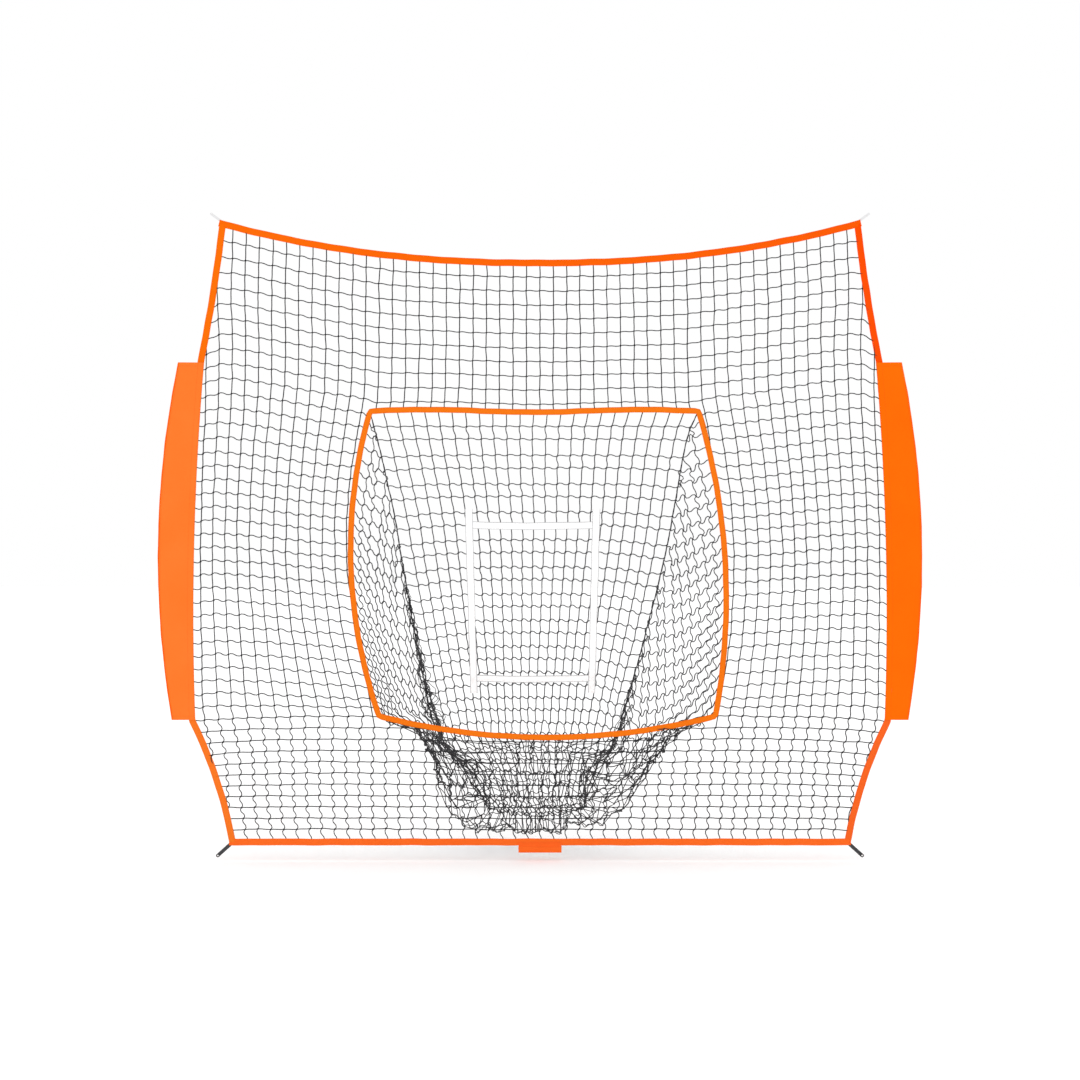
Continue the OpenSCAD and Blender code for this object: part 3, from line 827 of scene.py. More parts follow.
@dataclass
class Hems:
    """The taped edge of the net and the tape round the pocket's mouth."""

    plan: NetPlan = PLAN
    mouth_width: float = 0.019
    corner: float = 0.007
    # distance of the stitches from a tape's edge: hems, mouth
    inset: tuple[float, float] = (0.003, 0.0028)

    def mouth_loop(self) -> Line:
        """Returns the mouth's closed line with rounded corners, bottom first, clockwise."""
        plan = self.plan
        sides = [
            plan.mouth_bottom(),
            plan.mouth_side(Side.RIGHT),
            plan.mouth_top()[::-1],
            plan.mouth_side(Side.LEFT)[::-1],
        ]
        loop = []
        for side, after in zip(sides, sides[1:] + sides[:1]):
            cut = self.corner / run_of(side)[-1]
            loop.append(at(side, np.linspace(cut, 1 - cut, 40)))
            a, b, c = loop[-1][-1], side[-1], at(after, self.corner / run_of(after)[-1])
            t = np.linspace(0, 1, 7)[1:-1, None]
            loop.append(a * (1 - t) ** 2 + b * 2 * t * (1 - t) + c * t**2)
        line = np.concatenate(loop)
        # the tape's ends meet within the bottom edge
        start = 20
        return np.concatenate([line[start:], line[: start + 1]])[::-1]

    def build(self) -> list[bpy.types.Object]:
        """Returns all tapes and their stitches."""
        plan, wide = self.plan, self.plan.hem_width + 0.0004
        tapes = [
            Tape("left_hem_tape", plan.side_hem(Side.LEFT), plan.hem_width, ("left_hem",),
                 LEFT_TAPE, thick=0.0032, seed=3),
            Tape("right_hem_tape", plan.side_hem(Side.RIGHT)[::-1], plan.hem_width, ("right_hem",),
                 RIGHT_TAPE, thick=0.0032, seed=5),
            Tape("top_hem_tape", plan.top_hem(), wide, ("top_hem",), TOP_TAPE, thick=0.0033, seed=7),
            Tape("bottom_hem_tape", plan.bottom_hem()[::-1], wide, ("bottom_hem",), LOW_TAPE,
                 thick=0.0033, seed=9),
            Tape("mouth_tape", self.mouth_loop(), self.mouth_width,
                 ("rim_bottom", "rim_right", "rim_top", "rim_left"), EDGE_TAPE,
                 bead=False, closed=True, thick=0.0026, seed=11),
        ]
        pieces = [tape.build() for tape in tapes]
        hem, mouth = self.inset
        rows = [row for tape in tapes[:4] for row in tape.stitches(hem)]
        rows += tapes[4].stitches(mouth, self.mouth_width - mouth)
        return pieces + [sewn_line("tape_stitches", rows, 0.0045, THREAD, "tape", "net")]


# ---- sleeves ----


@dataclass
class Sleeve:
    """One sleeve for a bow pole: two cloths sewn together at the outer edge."""

    side: Side
    finish: WovenFinish
    plan: NetPlan = PLAN
    # widths of the sewn outer edge and of the end folds, and about how long the cloth is
    seam: float = 0.006
    fold: float = 0.012
    length: float = 1.18

    def lines(self) -> tuple[Line, Line]:
        """Returns the inner and the outer edge, from low to high."""
        run = self.plan.sleeve_run()
        inner = run + left_of(run) * self.plan.hem_width / 2
        mirror = [self.side.value, 1]
        return inner * mirror, self.plan.sleeve_outer() * mirror

    def face_point(self, up: np.ndarray, out: np.ndarray, face: int) -> Line:
        """Places points of one cloth.

        Args:
            up: Shares from the lower end to the upper one.
            out: Shares from the inner edge to the outer one.
            face: -1 for the front, 1 for the back.

        Returns:
            The points.
        """
        inner, outer = self.lines()
        a, b = at(inner, up), at(outer, up)
        ends = np.minimum(up, 1 - up)
        flat = a + (b - a) * out[:, None]
        breadth = np.linalg.norm(b - a, axis=1)
        from_edge = (1 - out) * breadth
        open_up = 0.0032 + 0.0010 * np.sin(math.pi * np.clip(out * 1.1, 0, 1))
        shut = smooth_step(from_edge, 0.001, 0.016)
        depth = 0.0011 + (open_up - 0.0011) * shut
        hem = 0.0005 * (ends * self.length < self.fold)
        seed = 20 + self.side.value * 3 + face
        long = up * self.length
        crease = ripple(long + out * 0.05, 0.19, seed) * 0.0006
        small = ripple(long * 0.8 - out * 0.10, 0.045, seed + 7) * 0.0008
        crease += small * smooth_step(ends, 0.30, 0.02)
        crease *= shut * smooth_step(out, 0.1, 0.3)
        return standing(flat, face * (depth + hem + crease))

    def cloth(self, face: int, word: str) -> bpy.types.Object:
        """Builds one cloth.

        Args:
            face: -1 for the front, 1 for the back.
            word: The CAD node's last word.

        Returns:
            The cloth.
        """
        inner, outer = self.lines()
        share = np.linspace(0, 1, 60)
        breadth = np.linalg.norm(at(outer, share) - at(inner, share), axis=1)
        length = float(run_of(outer)[-1])
        node = f"{self.side.word}_sleeve_{word}"
        piece = woven_grid(f"{node}_cloth", 96, 26, lambda up, out: self.face_point(up, out, face),
                           (length, float(breadth.mean())))
        thicken(piece, 0.0006)
        close_up(piece)
        hand_over(piece, self.finish, "sleeve_cloth", "net", node, sharp=50)
        return piece

    def stitches(self) -> list[StitchRow]:
        """Returns the stitch rows of both cloths: inner edge twice, outer edge, and both end folds."""
        inner, outer = self.lines()
        up, across = np.linspace(0.001, 0.999, 90), np.linspace(0.02, 0.97, 14)
        breadth = np.linalg.norm(at(outer, up) - at(inner, up), axis=1)
        fold = self.fold / self.length
        rows = [(up, share) for share in (0.003 / breadth, 0.0185 / breadth, 1 - 0.0075 / breadth)]
        rows += [(np.full(14, end), across) for end in (fold, 1 - fold)]
        return [
            (self.face_point(*row, face) + [0.0, face * 0.0004, 0.0], (0.0, face, 0.0))
            for face in (-1, 1)
            for row in rows
        ]

    def build(self) -> list[bpy.types.Object]:
        """Returns both cloths, the sewn edge and the stitches."""
        word = self.side.word
        pieces = [self.cloth(-1, "front"), self.cloth(1, "back")]
        _, outer = self.lines()
        line = outer if self.side is Side.LEFT else outer[::-1]
        edge = Tape(f"{word}_sleeve_edge_binding", line - left_of(line) * self.seam / 2, self.seam + 0.0006,
                    (f"{word}_sleeve_edge",), SEAM_TAPE, bead=False, thick=0.0021, seed=31 + self.side.value)
        pieces.append(edge.build())
        thread = sewn_line(f"{word}_sleeve_stitches", self.stitches(), 0.0042, THREAD, "sleeve_cloth", "net")
        return pieces + [thread]


# ---- netting ----


@dataclass
class CutSide:
    """One side of a piece of netting: where it is cut, and what it is sewn to."""

    cut: Line
    sewn: Optional[Line] = None
    seam: Optional[list[int]] = None


@dataclass
class Netting:
    """Knots and twines. Cut positions are in columns and rows of the mesh."""

    points: list[Line] = field(default_factory=list)
    lay: list[Line] = field(default_factory=list)
    pinned: list[bool] = field(default_factory=list)
    knots: list[int] = field(default_factory=list)
    ties: list[tuple[int, int, float, Twine]] = field(default_factory=list)
    strands: list[tuple[Twine, list[int]]] = field(default_factory=list)

    def add(self, place: Sequence[float], cut: Sequence[float], pinned: bool) -> int:
        """Adds a point with its column and row, pinned if it is sewn to a tape, and returns its number."""
        self.points.append(np.array(place, float))
        self.lay.append(np.array(cut, float))
        self.pinned.append(pinned)
        return len(self.points) - 1

    @staticmethod
    def _hits(sides: Sequence[CutSide], level: float, axis: int) -> list[tuple]:
        """Finds where a cord of the cloth crosses the sides.

        Args:
            sides: All sides of the cut.
            level: The cord's column or row.
            axis: 0 for a column, 1 for a row.

        Returns:
            Pairs of crossings, each as place along the cord, side and fractional index.
        """
        found = []
        for side in sides:
            p, q = side.cut[:-1], side.cut[1:]
            for k in np.nonzero((p[:, axis] > level) != (q[:, axis] > level))[0]:
                t = (level - p[k, axis]) / (q[k, axis] - p[k, axis])
                found.append((p[k, 1 - axis] + t * (q[k, 1 - axis] - p[k, 1 - axis]), side, k + t))
        found.sort(key=lambda hit: hit[0])
        return list(zip(found[::2], found[1::2]))

    def _end(self, hit: tuple, level: float, axis: int) -> int:
        """Returns the point at which a cord is sewn to a side."""
        along, side, index = hit
        if side.seam is not None:
            share = index / (len(side.cut) - 1)
            return side.seam[round(share * (len(side.seam) - 1))]
        k = min(int(index), len(side.sewn) - 2)
        place = side.sewn[k] + (side.sewn[k + 1] - side.sewn[k]) * (index - k)
        return self.add(place, (level, along) if axis == 0 else (along, level), True)

    def _string(self, first: int, row: list[tuple[float, int]], last: int, ends: tuple, twine: Twine) -> None:
        """Runs one cord through its knots and ties it to both sides."""
        run = [(ends[0], first)] + row + [(ends[1], last)]
        for (a, p), (b, q) in zip(run, run[1:]):
            if p != q:
                self.ties.append((p, q, max(abs(b - a), 0.15), twine))
        self.strands.append((twine, [p for _, p in run]))

    def cut_out(
        self,
        sides: Sequence[CutSide],
        place: Callable[[Line], Line],
        margin: float = 0.25,
        short: float = 9.0,
    ) -> None:
        """Cuts the cloth along the sides and sews it in.

        Args:
            sides: The sides, as closed loops.
            place: Gives the first position of a column and row.
            margin: Least distance of a knot from a side, in cells.
            short: Least length of a row that is sewn in without a knot, in cells.
        """
        every = np.concatenate([side.cut for side in sides])
        low, high = np.floor(every.min(0)).astype(int) - 1, np.ceil(every.max(0)).astype(int) + 2
        knots: dict[tuple[int, int], int] = {}
        for j in range(low[1], high[1]):
            for a, b in self._hits(sides, j, 1):
                row = []
                for i in range(low[0], high[0]):
                    if a[0] + margin < i < b[0] - margin:
                        knots[i, j] = self.add(place(np.array([i, j], float)), (i, j), False)
                        self.knots.append(knots[i, j])
                        row.append((i, knots[i, j]))
                if row or short < b[0] - a[0]:
                    self._string(self._end(a, j, 1), row, self._end(b, j, 1), (a[0], b[0]), Twine.ROW)
        for i in range(low[0], high[0]):
            for a, b in self._hits(sides, i, 0):
                inside = [j for j in range(low[1], high[1]) if (i, j) in knots and a[0] < j < b[0]]
                if inside:
                    column = [(j, knots[i, j]) for j in inside]
                    self._string(self._end(a, i, 0), column, self._end(b, i, 0), (a[0], b[0]), Twine.COLUMN)

    def settle(self, base: Line, stiffness: Callable[[Line, Twine], tuple[float, float]]) -> None:
        """Lets the taut net find its shape between the tapes.

        Args:
            base: Where the points would be with nothing sewn in.
            stiffness: Gives a tie's hold sideways and upwards for its column and row.
        """
        shape, cloth = np.array(self.points), np.array(self.lay)
        free = ~np.array(self.pinned)
        index = np.cumsum(free) - 1
        shift = shape - base
        for axis, pull in ((0, 0), (2, 1)):
            matrix = np.zeros((free.sum(), free.sum()))
            right = np.zeros(free.sum())
            for p, q, rest, twine in self.ties:
                k = stiffness((cloth[p] + cloth[q]) / 2, twine)[pull] / rest
                for a, b in ((p, q), (q, p)):
                    if free[a]:
                        matrix[index[a], index[a]] += k
                        if free[b]:
                            matrix[index[a], index[b]] -= k
                        else:
                            right[index[a]] += k * shift[b, axis]
            shape[free, axis] = base[free, axis] + np.linalg.solve(matrix, right)
        self.points = list(shape)


def jitter(p: int, q: int) -> float:
    """Returns a number from 0 to 1 that looks random, but is always the same for two points."""
    return (p * 7919 + q * 104729) % 1000 / 1000


@dataclass
class TwineWork:
    """Draws netting as twine with knots."""

    radius: float = 0.0018
    knot: float = 0.0031
    seed: int = 4
    finish: TwineFinish = CORD
    # a stretch between two knots that is shorter, or waves less, is drawn straight
    least_length: float = 0.012
    least_wave: float = 0.0002
    # the cord's turns: shares of the way between two knots, and shares of the wave's height
    turns: tuple[tuple[float, float], ...] = ((0.16, 0.75), (0.36, 0.6), (0.64, -0.6), (0.84, -0.75))
    knot_shape: tuple[float, float, float] = (1.15, 0.9, 1.0)

    def line(self, net: Netting, twine: Twine, ids: list[int], wave: Callable) -> Line:
        """Draws one cord with its small turns between the knots.

        Args:
            net: The netting.
            twine: Which way the cord runs.
            ids: Its points.
            wave: Gives the wave's height for both ends of a stretch.

        Returns:
            The cord's points.
        """
        drawn = []
        aim = np.array([0.0, 0.25, 1.0] if twine is Twine.ROW else [1.0, 0.2, 0.0])
        for p, q in zip(ids, ids[1:]):
            a, b = net.points[p], net.points[q]
            way = b - a
            length = np.linalg.norm(way)
            if length < 1e-6:
                continue
            height = wave(net, p, q, twine, length)
            side = aim - way * (aim @ way) / length**2
            side /= max(np.linalg.norm(side), 1e-6)
            drawn.append(a)
            if length > self.least_length and abs(height) > self.least_wave:
                drawn += [a + way * share + side * height * lift for share, lift in self.turns]
        drawn.append(net.points[ids[-1]])
        return np.array(drawn)

    def lumps(self, name: str, places: Line) -> bpy.types.Object:
        """Returns one object with a knot, turned about Y, at every place."""
        rng = np.random.default_rng(self.seed)
        count = len(places)
        size = np.diag(self.knot_shape) * self.knot * rng.uniform(0.85, 1.15, (count, 1, 1))
        angle = rng.uniform(0, math.pi, count)
        spin = np.zeros((count, 3, 3))
        spin[:, 0, 0] = spin[:, 2, 2] = np.cos(angle)
        spin[:, 0, 2], spin[:, 2, 0], spin[:, 1, 1] = np.sin(angle), -np.sin(angle), 1
        return scattered(name, "knot", spin @ size, places)

    def build(
        self, name: str, net: Netting, strands: list, wave: Callable, knots: list[int], body: str, *nodes: str
    ) -> bpy.types.Object:
        """Makes the mesh of some cords and their knots.

        Args:
            name: The piece's name.
            net: The netting.
            strands: Cords as pairs of way and points.
            wave: Gives the wave's height for both ends of a stretch.
            knots: Points that get a knot.
            body: The body that it rides on, if it isn't blended.
            nodes: The CAD nodes that it replaces.

        Returns:
            The piece, dressed.
        """
        cords = corded(name, [self.line(net, twine, ids, wave) for twine, ids in strands], self.radius)
        lumps = self.lumps(name + "_knots", np.array([net.points[k] for k in knots]))
        return hand_over(joined(name, [cords, lumps]), self.finish, "netting", body, *nodes, sharp=60)


@dataclass
class FrontNet:
    """The flat net between the hems and the mouth's tape."""

    plan: NetPlan = PLAN
    pitch: float = 0.044
    # just past the first row, whose cord would lie inside the hem
    first_row: float = 0.001
    rows: float = 46.0
    # the net's row pitch grows upwards, where the twine carries more
    level_rows: tuple[float, ...] = (0, 15, 30, 35, 45, 46)
    level_z: tuple[float, ...] = (2.052, 1.333, 0.665, 0.451, 0.067, 0.023)
    # how wide its rows lie, and how much of the top hem's sag they keep
    spread_rows: tuple[float, ...] = (0, 10, 22, 35, 46)
    spread: tuple[float, ...] = (1.0, 0.988, 1.010, 0.987, 0.957)
    fade_rows: tuple[float, ...] = (0, 10.5, 20, 29, 33, 35, 46)
    fade: tuple[float, ...] = (1.0, 1.0, 0.76, 0.52, 0.5, 0.15, 0.0)
    # where the cut edge meets the side hem
    hem_rows: tuple[float, ...] = (0, 4.25, 5, 7.7, 12, 29, 35, 38.3, 42.6, 46)
    hem_u: tuple[float, ...] = (1.048, 1.0689, 1.080, 1.1129, 1.131, 1.139, 1.135, 1.1129, 1.0689, 1.0609)
    hem_z: tuple[float, ...] = (2.0616, 1.833, 1.778, 1.641, 1.4355, 0.673, 0.421, 0.297, 0.152, 0.023)
    # where it meets the mouth
    mouth_rows: tuple[float, ...] = (10.56, 13, 32, 35)
    mouth_z: tuple[float, ...] = (1.445, 1.3525, 0.5325, 0.438)
    mouth_u: tuple[tuple[float, float], tuple[float, float]] = ((-0.546, -0.5717), (0.510, 0.572))
    mouth_dip: float = 1.6
    # half the top hem, and how much less the first row sags than the tape
    half_top: float = 1.059
    tape_sag: float = 0.0091
    # the rows in which the netting goes from taut to slack
    low_rows: tuple[float, float] = (33.0, 36.5)
    # the level cords are calmest above the mouth: above this row, and this near the middle
    calm_over: tuple[float, float] = (10.5, 0.55)
    scatter: tuple[float, float, float] = (0.0009, 0.0012, 0.0009)
    net: Netting = field(default_factory=Netting)

    def rest(self, cloth: Line) -> Line:
        """Gives the shape that the net would have with no mouth in it.

        Args:
            cloth: Column and row.

        Returns:
            The position.
        """
        u, r = cloth[0] * self.pitch, cloth[1]
        share = min(1.0, abs(u / self.half_top))
        sag = self.plan.top_sag * (1 - share**self.plan.sag_power) - self.tape_sag
        z = np.interp(r, self.level_rows, self.level_z) - np.interp(r, self.fade_rows, self.fade) * sag
        return np.array([u * np.interp(r, self.spread_rows, self.spread), 0.0, z])

    def side(self, u: np.ndarray, row: np.ndarray | float, x: np.ndarray, z: np.ndarray | float) -> CutSide:
        """Returns a side cut at distances and rows of the cloth, and sewn on at X and Z."""
        cut = np.column_stack([u / self.pitch, np.full(len(u), row)])
        return CutSide(cut, standing(np.column_stack([x, np.full(len(u), z)])))

    def sides(self) -> list[CutSide]:
        """Returns the sides of the net: four at the hems, four at the mouth."""
        plan = self.plan
        across = np.linspace(-1, 1, 41)
        top = across * self.hem_u[0]
        sides = [
            self.side(top, self.first_row, top, plan.top_hem_z(top)),
            self.side(across * self.hem_u[-1], self.rows, across * plan.side_corners()[0][0], self.hem_z[-1]),
        ]
        r = np.linspace(self.first_row, self.rows, 231)
        z = np.interp(r, self.hem_rows, self.hem_z)
        for side in Side:
            hem = plan.side_hem(side)
            u = side.value * np.interp(r, self.hem_rows, self.hem_u)
            sides.append(self.side(u, r, np.interp(z, hem[:, 1], hem[:, 0]), z))
        r = np.linspace(self.mouth_rows[0], self.mouth_rows[-1], 121)
        z = np.interp(r, self.mouth_rows, self.mouth_z)
        for side, ends in zip(Side, self.mouth_u):
            edge = plan.mouth_side(side)
            u = np.interp(r, (r[0], r[-1]), ends)
            sides.append(self.side(u, r, np.interp(z, edge[:, 1], edge[:, 0]), z))
        share = np.linspace(0, 1, 61)
        levels = ((plan.mouth_top(), r[0], 0.0), (plan.mouth_bottom(), r[-1], self.mouth_dip))
        for (edge, row, dip), (first, last) in zip(levels, zip(*self.mouth_u)):
            sewn = at(edge, share)
            u, rows = first + (last - first) * share, row + dip * 4 * share * (1 - share)
            sides.append(self.side(u, rows, sewn[:, 0], sewn[:, 1]))
        return sides

    @staticmethod
    def hold(cloth: Line, twine: Twine) -> tuple[float, float]:
        """Says how a tie holds: level cords hold sideways, upright ones hold the height."""
        if twine is Twine.ROW:
            return 1.0, 0.05 + 0.35 * float(smooth_step(cloth[1], 33, 36))
        return 0.05, 1.0

    def wave(self, net: Netting, p: int, q: int, twine: Twine, length: float) -> float:
        """Returns the height of a cord's turns: level cords are slack high up, upright ones low down."""
        row = (net.lay[p][1] + net.lay[q][1]) / 2
        uneven = 0.8 + 0.4 * jitter(p, q)
        slack = float(smooth_step(row, *self.low_rows))
        if twine is Twine.COLUMN:
            return -(0.0006 + 0.0052 * slack) * uneven * min(1, length / 0.03)
        across = abs((net.lay[p][0] + net.lay[q][0]) / 2 * self.pitch)
        over_mouth = row < self.calm_over[0] and across < self.calm_over[1]
        calm = 0.4 if over_mouth else 0.6 + 0.4 * float(smooth_step(row, 4.0, 14.0))
        return 0.0041 * (1 - 0.85 * slack) * calm * uneven * min(1, length / 0.04)

    def panel(self, point: Line) -> str:
        """Returns the CAD node in whose panel a point lies."""
        if point[2] > self.plan.mouth_high:
            return "net_top"
        if point[2] < self.plan.mouth_low:
            return "net_bottom"
        return "net_left" if point[0] < 0 else "net_right"

    def build(self) -> list[bpy.types.Object]:
        """Returns the four panels of the front net."""
        net = self.net
        net.cut_out(self.sides(), self.rest)
        net.settle(np.array([self.rest(cloth) for cloth in net.lay]), self.hold)
        rng = np.random.default_rng(8)
        for k in net.knots:
            net.points[k] = net.points[k] + rng.normal(0, 1, 3) * self.scatter
        panels = {name: ([], []) for name in ("net_top", "net_left", "net_right", "net_bottom")}
        for twine, ids in net.strands:
            # a cord that runs on into the next panel is drawn in two pieces
            now, run = "", [ids[0]]
            for p, q in zip(ids, ids[1:]):
                here = self.panel((net.points[p] + net.points[q]) / 2)
                if len(run) > 1 and here != now:
                    panels[now][0].append((twine, run))
                    run = [p]
                now = here
                run.append(q)
            panels[now][0].append((twine, run))
        for k in net.knots:
            panels[self.panel(net.points[k])][1].append(k)
        return [
            TwineWork().build(name + "_twine", net, strands, self.wave, knots, "net", name)
            for name, (strands, knots) in panels.items()
        ]


@dataclass
class BallPocket:
    """The pocket behind the mouth: a long strip of netting between two gussets."""

    plan: NetPlan = PLAN
    mesh: float = 0.045
    columns: int = 24
    rows: int = 44
    gusset_width: float = 19.0
    gusset_low: float = 27.0
    gusset_rim: float = 24.4
    # the sack's floor, and the least and greatest depth of the hanging netting
    floor: float = 0.011
    room: tuple[float, float] = (0.007, 0.475)
    # frames of the hanging, quick and full, and how unevenly the cloth starts
    frames: tuple[int, int] = (90, 320)
    start_scatter: float = 0.004
    # the strip's first shape: height at the mouth's top, fall to the turn, height there and rise to the
    # mouth's foot, then depth, waist and least depth
    first_top: float = 1.44
    first_fall: float = 1.30
    first_low: float = 0.14
    first_rise: float = 0.26
    first_depth: float = 0.42
    first_waist: float = 0.35
    first_y: float = 0.012
    # its weight pulls backwards by the tilt, in degrees, and the netting gathers towards one X
    tilt: float = 25.0
    gather: float = 11.0
    gather_x: float = -0.03
    damping: float = 0.97
    # how far a mesh folds up, as a share of its twine
    folded: float = 0.45
    # the row where the back wall ends, the rows in which its seams' hold fades, and the height below
    # which it keeps only a share of its fall
    turn: int = 32
    turn_rows: float = 3.0
    turn_z: float = 0.095
    turn_flat: float = 0.35
    # how often a seam is smoothed, and how firmly the rows are brought level between the seams
    smoothing: int = 6
    level_hold: float = 0.85
    # how much higher than its middle a row meets the seams, from the top row to the turn
    rise_rows: tuple[float, ...] = (0.0, 0.25, 0.6, 0.8, 1.0)
    rise: tuple[float, ...] = (0.0, -0.016, -0.028, 0.0, 0.035)
    # the sack: how far it fills its outline and how unevenly, and the height and depth where it begins
    sack_reach: float = 1.11
    sack_uneven: float = 0.05
    sack_z: tuple[float, float] = (0.435, 0.385)
    sack_y: tuple[float, float] = (0.004, 0.035)
    # how evenly its folds share the room, the angle that a fold takes up, and the angles from straight
    # down at which it goes over to the netting at the mouth
    evenness: float = 0.75
    fold_angle: float = 0.30
    mouth_angle: tuple[float, float] = (1.35, 0.95)
    # how much it is crumpled, the heights between which that begins, and the shares of the wall and of
    # what lies higher
    crumple: tuple[float, float, float] = (0.006, 0.008, 0.006)
    crumple_z: tuple[float, float] = (0.46, 0.30)
    crumple_wall: float = 0.4
    crumple_high: float = 0.12
    # the target's middle, the widths and heights in which the wall goes over to the plane it hangs in,
    # and how far behind that plane the cords lie
    target_x: float = -0.02
    plane_x: tuple[float, float] = (0.36, 0.24)
    plane_z: tuple[float, float] = (0.36, 0.46)
    plane_back: float = 0.0028
    # greatest and least height of a cord's turns, and how much of its slack shows
    gusset_turns: tuple[float, float, float] = (0.012, 0.0045, 1.0)
    wall_turns: tuple[float, float, float] = (0.0065, 0.0012, 0.6)
    # the hanging pocket as seen from straight in front: X and Z down both seams and round the sack
    eye_distance: float = 7.0
    eye_height: float = 1.02
    left_seam: tuple[tuple[float, float], ...] = (
        (-0.050, 0.050), (-0.080, 0.078), (-0.118, 0.102), (-0.162, 0.133), (-0.210, 0.196), (-0.250, 0.261),
        (-0.285, 0.305), (-0.337, 0.352), (-0.366, 0.475), (-0.393, 0.610), (-0.422, 0.762), (-0.449, 0.914),
        (-0.482, 1.112), (-0.518, 1.270), (-0.535, 1.346), (-0.561, 1.436),
    )
    right_seam: tuple[tuple[float, float], ...] = (
        (0.060, 0.050), (0.095, 0.089), (0.140, 0.133), (0.172, 0.209), (0.220, 0.300), (0.262, 0.400),
        (0.300, 0.535), (0.337, 0.663), (0.383, 0.845), (0.426, 1.026), (0.465, 1.254), (0.478, 1.323),
        (0.505, 1.422), (0.522, 1.440),
    )
    sack_middle: tuple[float, float] = (-0.010, 0.410)
    sack_outline: tuple[tuple[float, float], ...] = (
        (-0.425, 0.405), (-0.377, 0.352), (-0.340, 0.209), (-0.310, 0.140), (-0.232, 0.060), (-0.180, 0.034),
        (-0.020, 0.030), (0.035, 0.036), (0.090, 0.066), (0.190, 0.084), (0.234, 0.113), (0.292, 0.150),
        (0.362, 0.216), (0.402, 0.312), (0.435, 0.342), (0.490, 0.392),
    )
    lacing: float = 0.0012
    net: Netting = field(default_factory=Netting)
    grid: dict[tuple[int, int], int] = field(default_factory=dict)
    gusset_knots: dict[Side, list[int]] = field(default_factory=dict)

    @property
    def bend(self) -> float:
        """Returns the share of the strip above the gussets' lowest corner."""
        above = math.hypot(self.gusset_width, self.gusset_low)
        return above / (above + math.hypot(self.gusset_width, self.gusset_low - self.gusset_rim))

    @property
    def low_row(self) -> int:
        """Returns the row at the gussets' lowest corner."""
        return round(self.rows * self.bend)

    def first_place(self, i: int, j: int) -> Line:
        """Gives a knot of the strip a first position near where it hangs."""
        v, bend = j / self.rows, self.bend
        top = at(self.plan.mouth_top(), i / self.columns)
        low = at(self.plan.mouth_bottom(), i / self.columns)
        if v < bend:
            z = self.first_top - self.first_fall * v / bend
            y = 0.004 + self.first_depth * v / bend
        else:
            w = (v - bend) / (1 - bend)
            z, y = self.first_low + self.first_rise * w, self.first_depth * (1 - w)
        x = top[0] * (1 - v) + low[0] * v
        return np.array([x * (1 - self.first_waist * math.sin(math.pi * v)), max(y, self.first_y), z])

    def lay_strip(self) -> None:
        """Adds the strip that is the back wall and the floor, sewn to the mouth at both ends."""
        net, across, down = self.net, range(self.columns + 1), range(self.rows + 1)
        ends = {0: self.plan.mouth_top(), self.rows: self.plan.mouth_bottom()}
        for j in down:
            for i in across:
                place = self.first_place(i, j)
                if j in ends:
                    flat = at(ends[j], i / self.columns)
                    place = np.array([flat[0], self.plan.front_y, flat[1]])
                self.grid[i, j] = net.add(place, (i, j), j in ends)
                if j not in ends:
                    net.knots.append(self.grid[i, j])
        runs = [(Twine.ROW, [self.grid[i, j] for i in across]) for j in down[1:-1]]
        runs += [(Twine.COLUMN, [self.grid[i, j] for j in down]) for i in across]
        net.strands += runs
        net.ties += [(p, q, 1.0, twine) for twine, ids in runs for p, q in zip(ids, ids[1:])]

    def lay_gusset(self, side: Side) -> tuple[int, int]:
        """Cuts one gusset, sews it to the mouth and the strip, and returns its first and last strand."""
        net, low_row = self.net, self.low_row
        column = 0 if side is Side.LEFT else self.columns
        seam = [self.grid[column, j] for j in range(self.rows + 1)]
        # columns count from the mouth's edge, rows downwards
        top, low, rim = (0.0, 0.0), (self.gusset_width, self.gusset_low), (0.0, self.gusset_rim)
        edge = self.plan.mouth_side(side)[::-1]
        share = np.linspace(0, 1, 61)
        sides = [
            CutSide(np.column_stack([np.zeros(61), share * self.gusset_rim]),
                    standing(at(edge, share), self.plan.front_y)),
            CutSide(np.array([top, low]), seam=seam[: low_row + 1]),
            CutSide(np.array([low, rim]), seam=seam[low_row:]),
        ]

        def place(cloth: Line) -> Line:
            """Puts a knot between the mouth's edge and the seam."""
            a = at(edge, min(cloth[1], self.gusset_rim) / self.gusset_rim)
            wide = max(self.gusset_width * min(cloth[1] / self.gusset_low, 1.0), 0.5)
            b = net.points[seam[min(round(cloth[1] / self.gusset_low * low_row), low_row)]]
            w = min(1.0, abs(cloth[0]) / wide)
            return np.array([a[0], self.plan.front_y, a[1]]) * (1 - w) + b * w

        before, first_knot = len(net.strands), len(net.points)
        net.cut_out(sides, place, margin=0.3, short=0.2)
        self.gusset_knots[side] = [k for k in net.knots if k >= first_knot]
        return before, len(net.strands)

    def hang(self, frames: int, passes: int = 12) -> None:
        """Lets the pocket hang: twine can't stretch, but it folds.

        Args:
            frames: Steps of a sixtieth of a second.
            passes: Times that all ties are corrected in a step.
        """
        net = self.net
        rng = np.random.default_rng(7)
        x = np.array(net.points)
        free = ~np.array(net.pinned)
        x[free] += rng.normal(0, self.start_scatter, (free.sum(), 3))
        w = free.astype(float)
        ends = np.array([(p, q) for p, q, _, _ in net.ties])
        rest = np.array([length * self.mesh for _, _, length, _ in net.ties])
        used: list[set[int]] = [set() for _ in x]
        colour = np.zeros(len(ends), int)
        for e, (a, b) in enumerate(ends):
            while colour[e] in used[a] or colour[e] in used[b]:
                colour[e] += 1
            used[a].add(colour[e])
            used[b].add(colour[e])
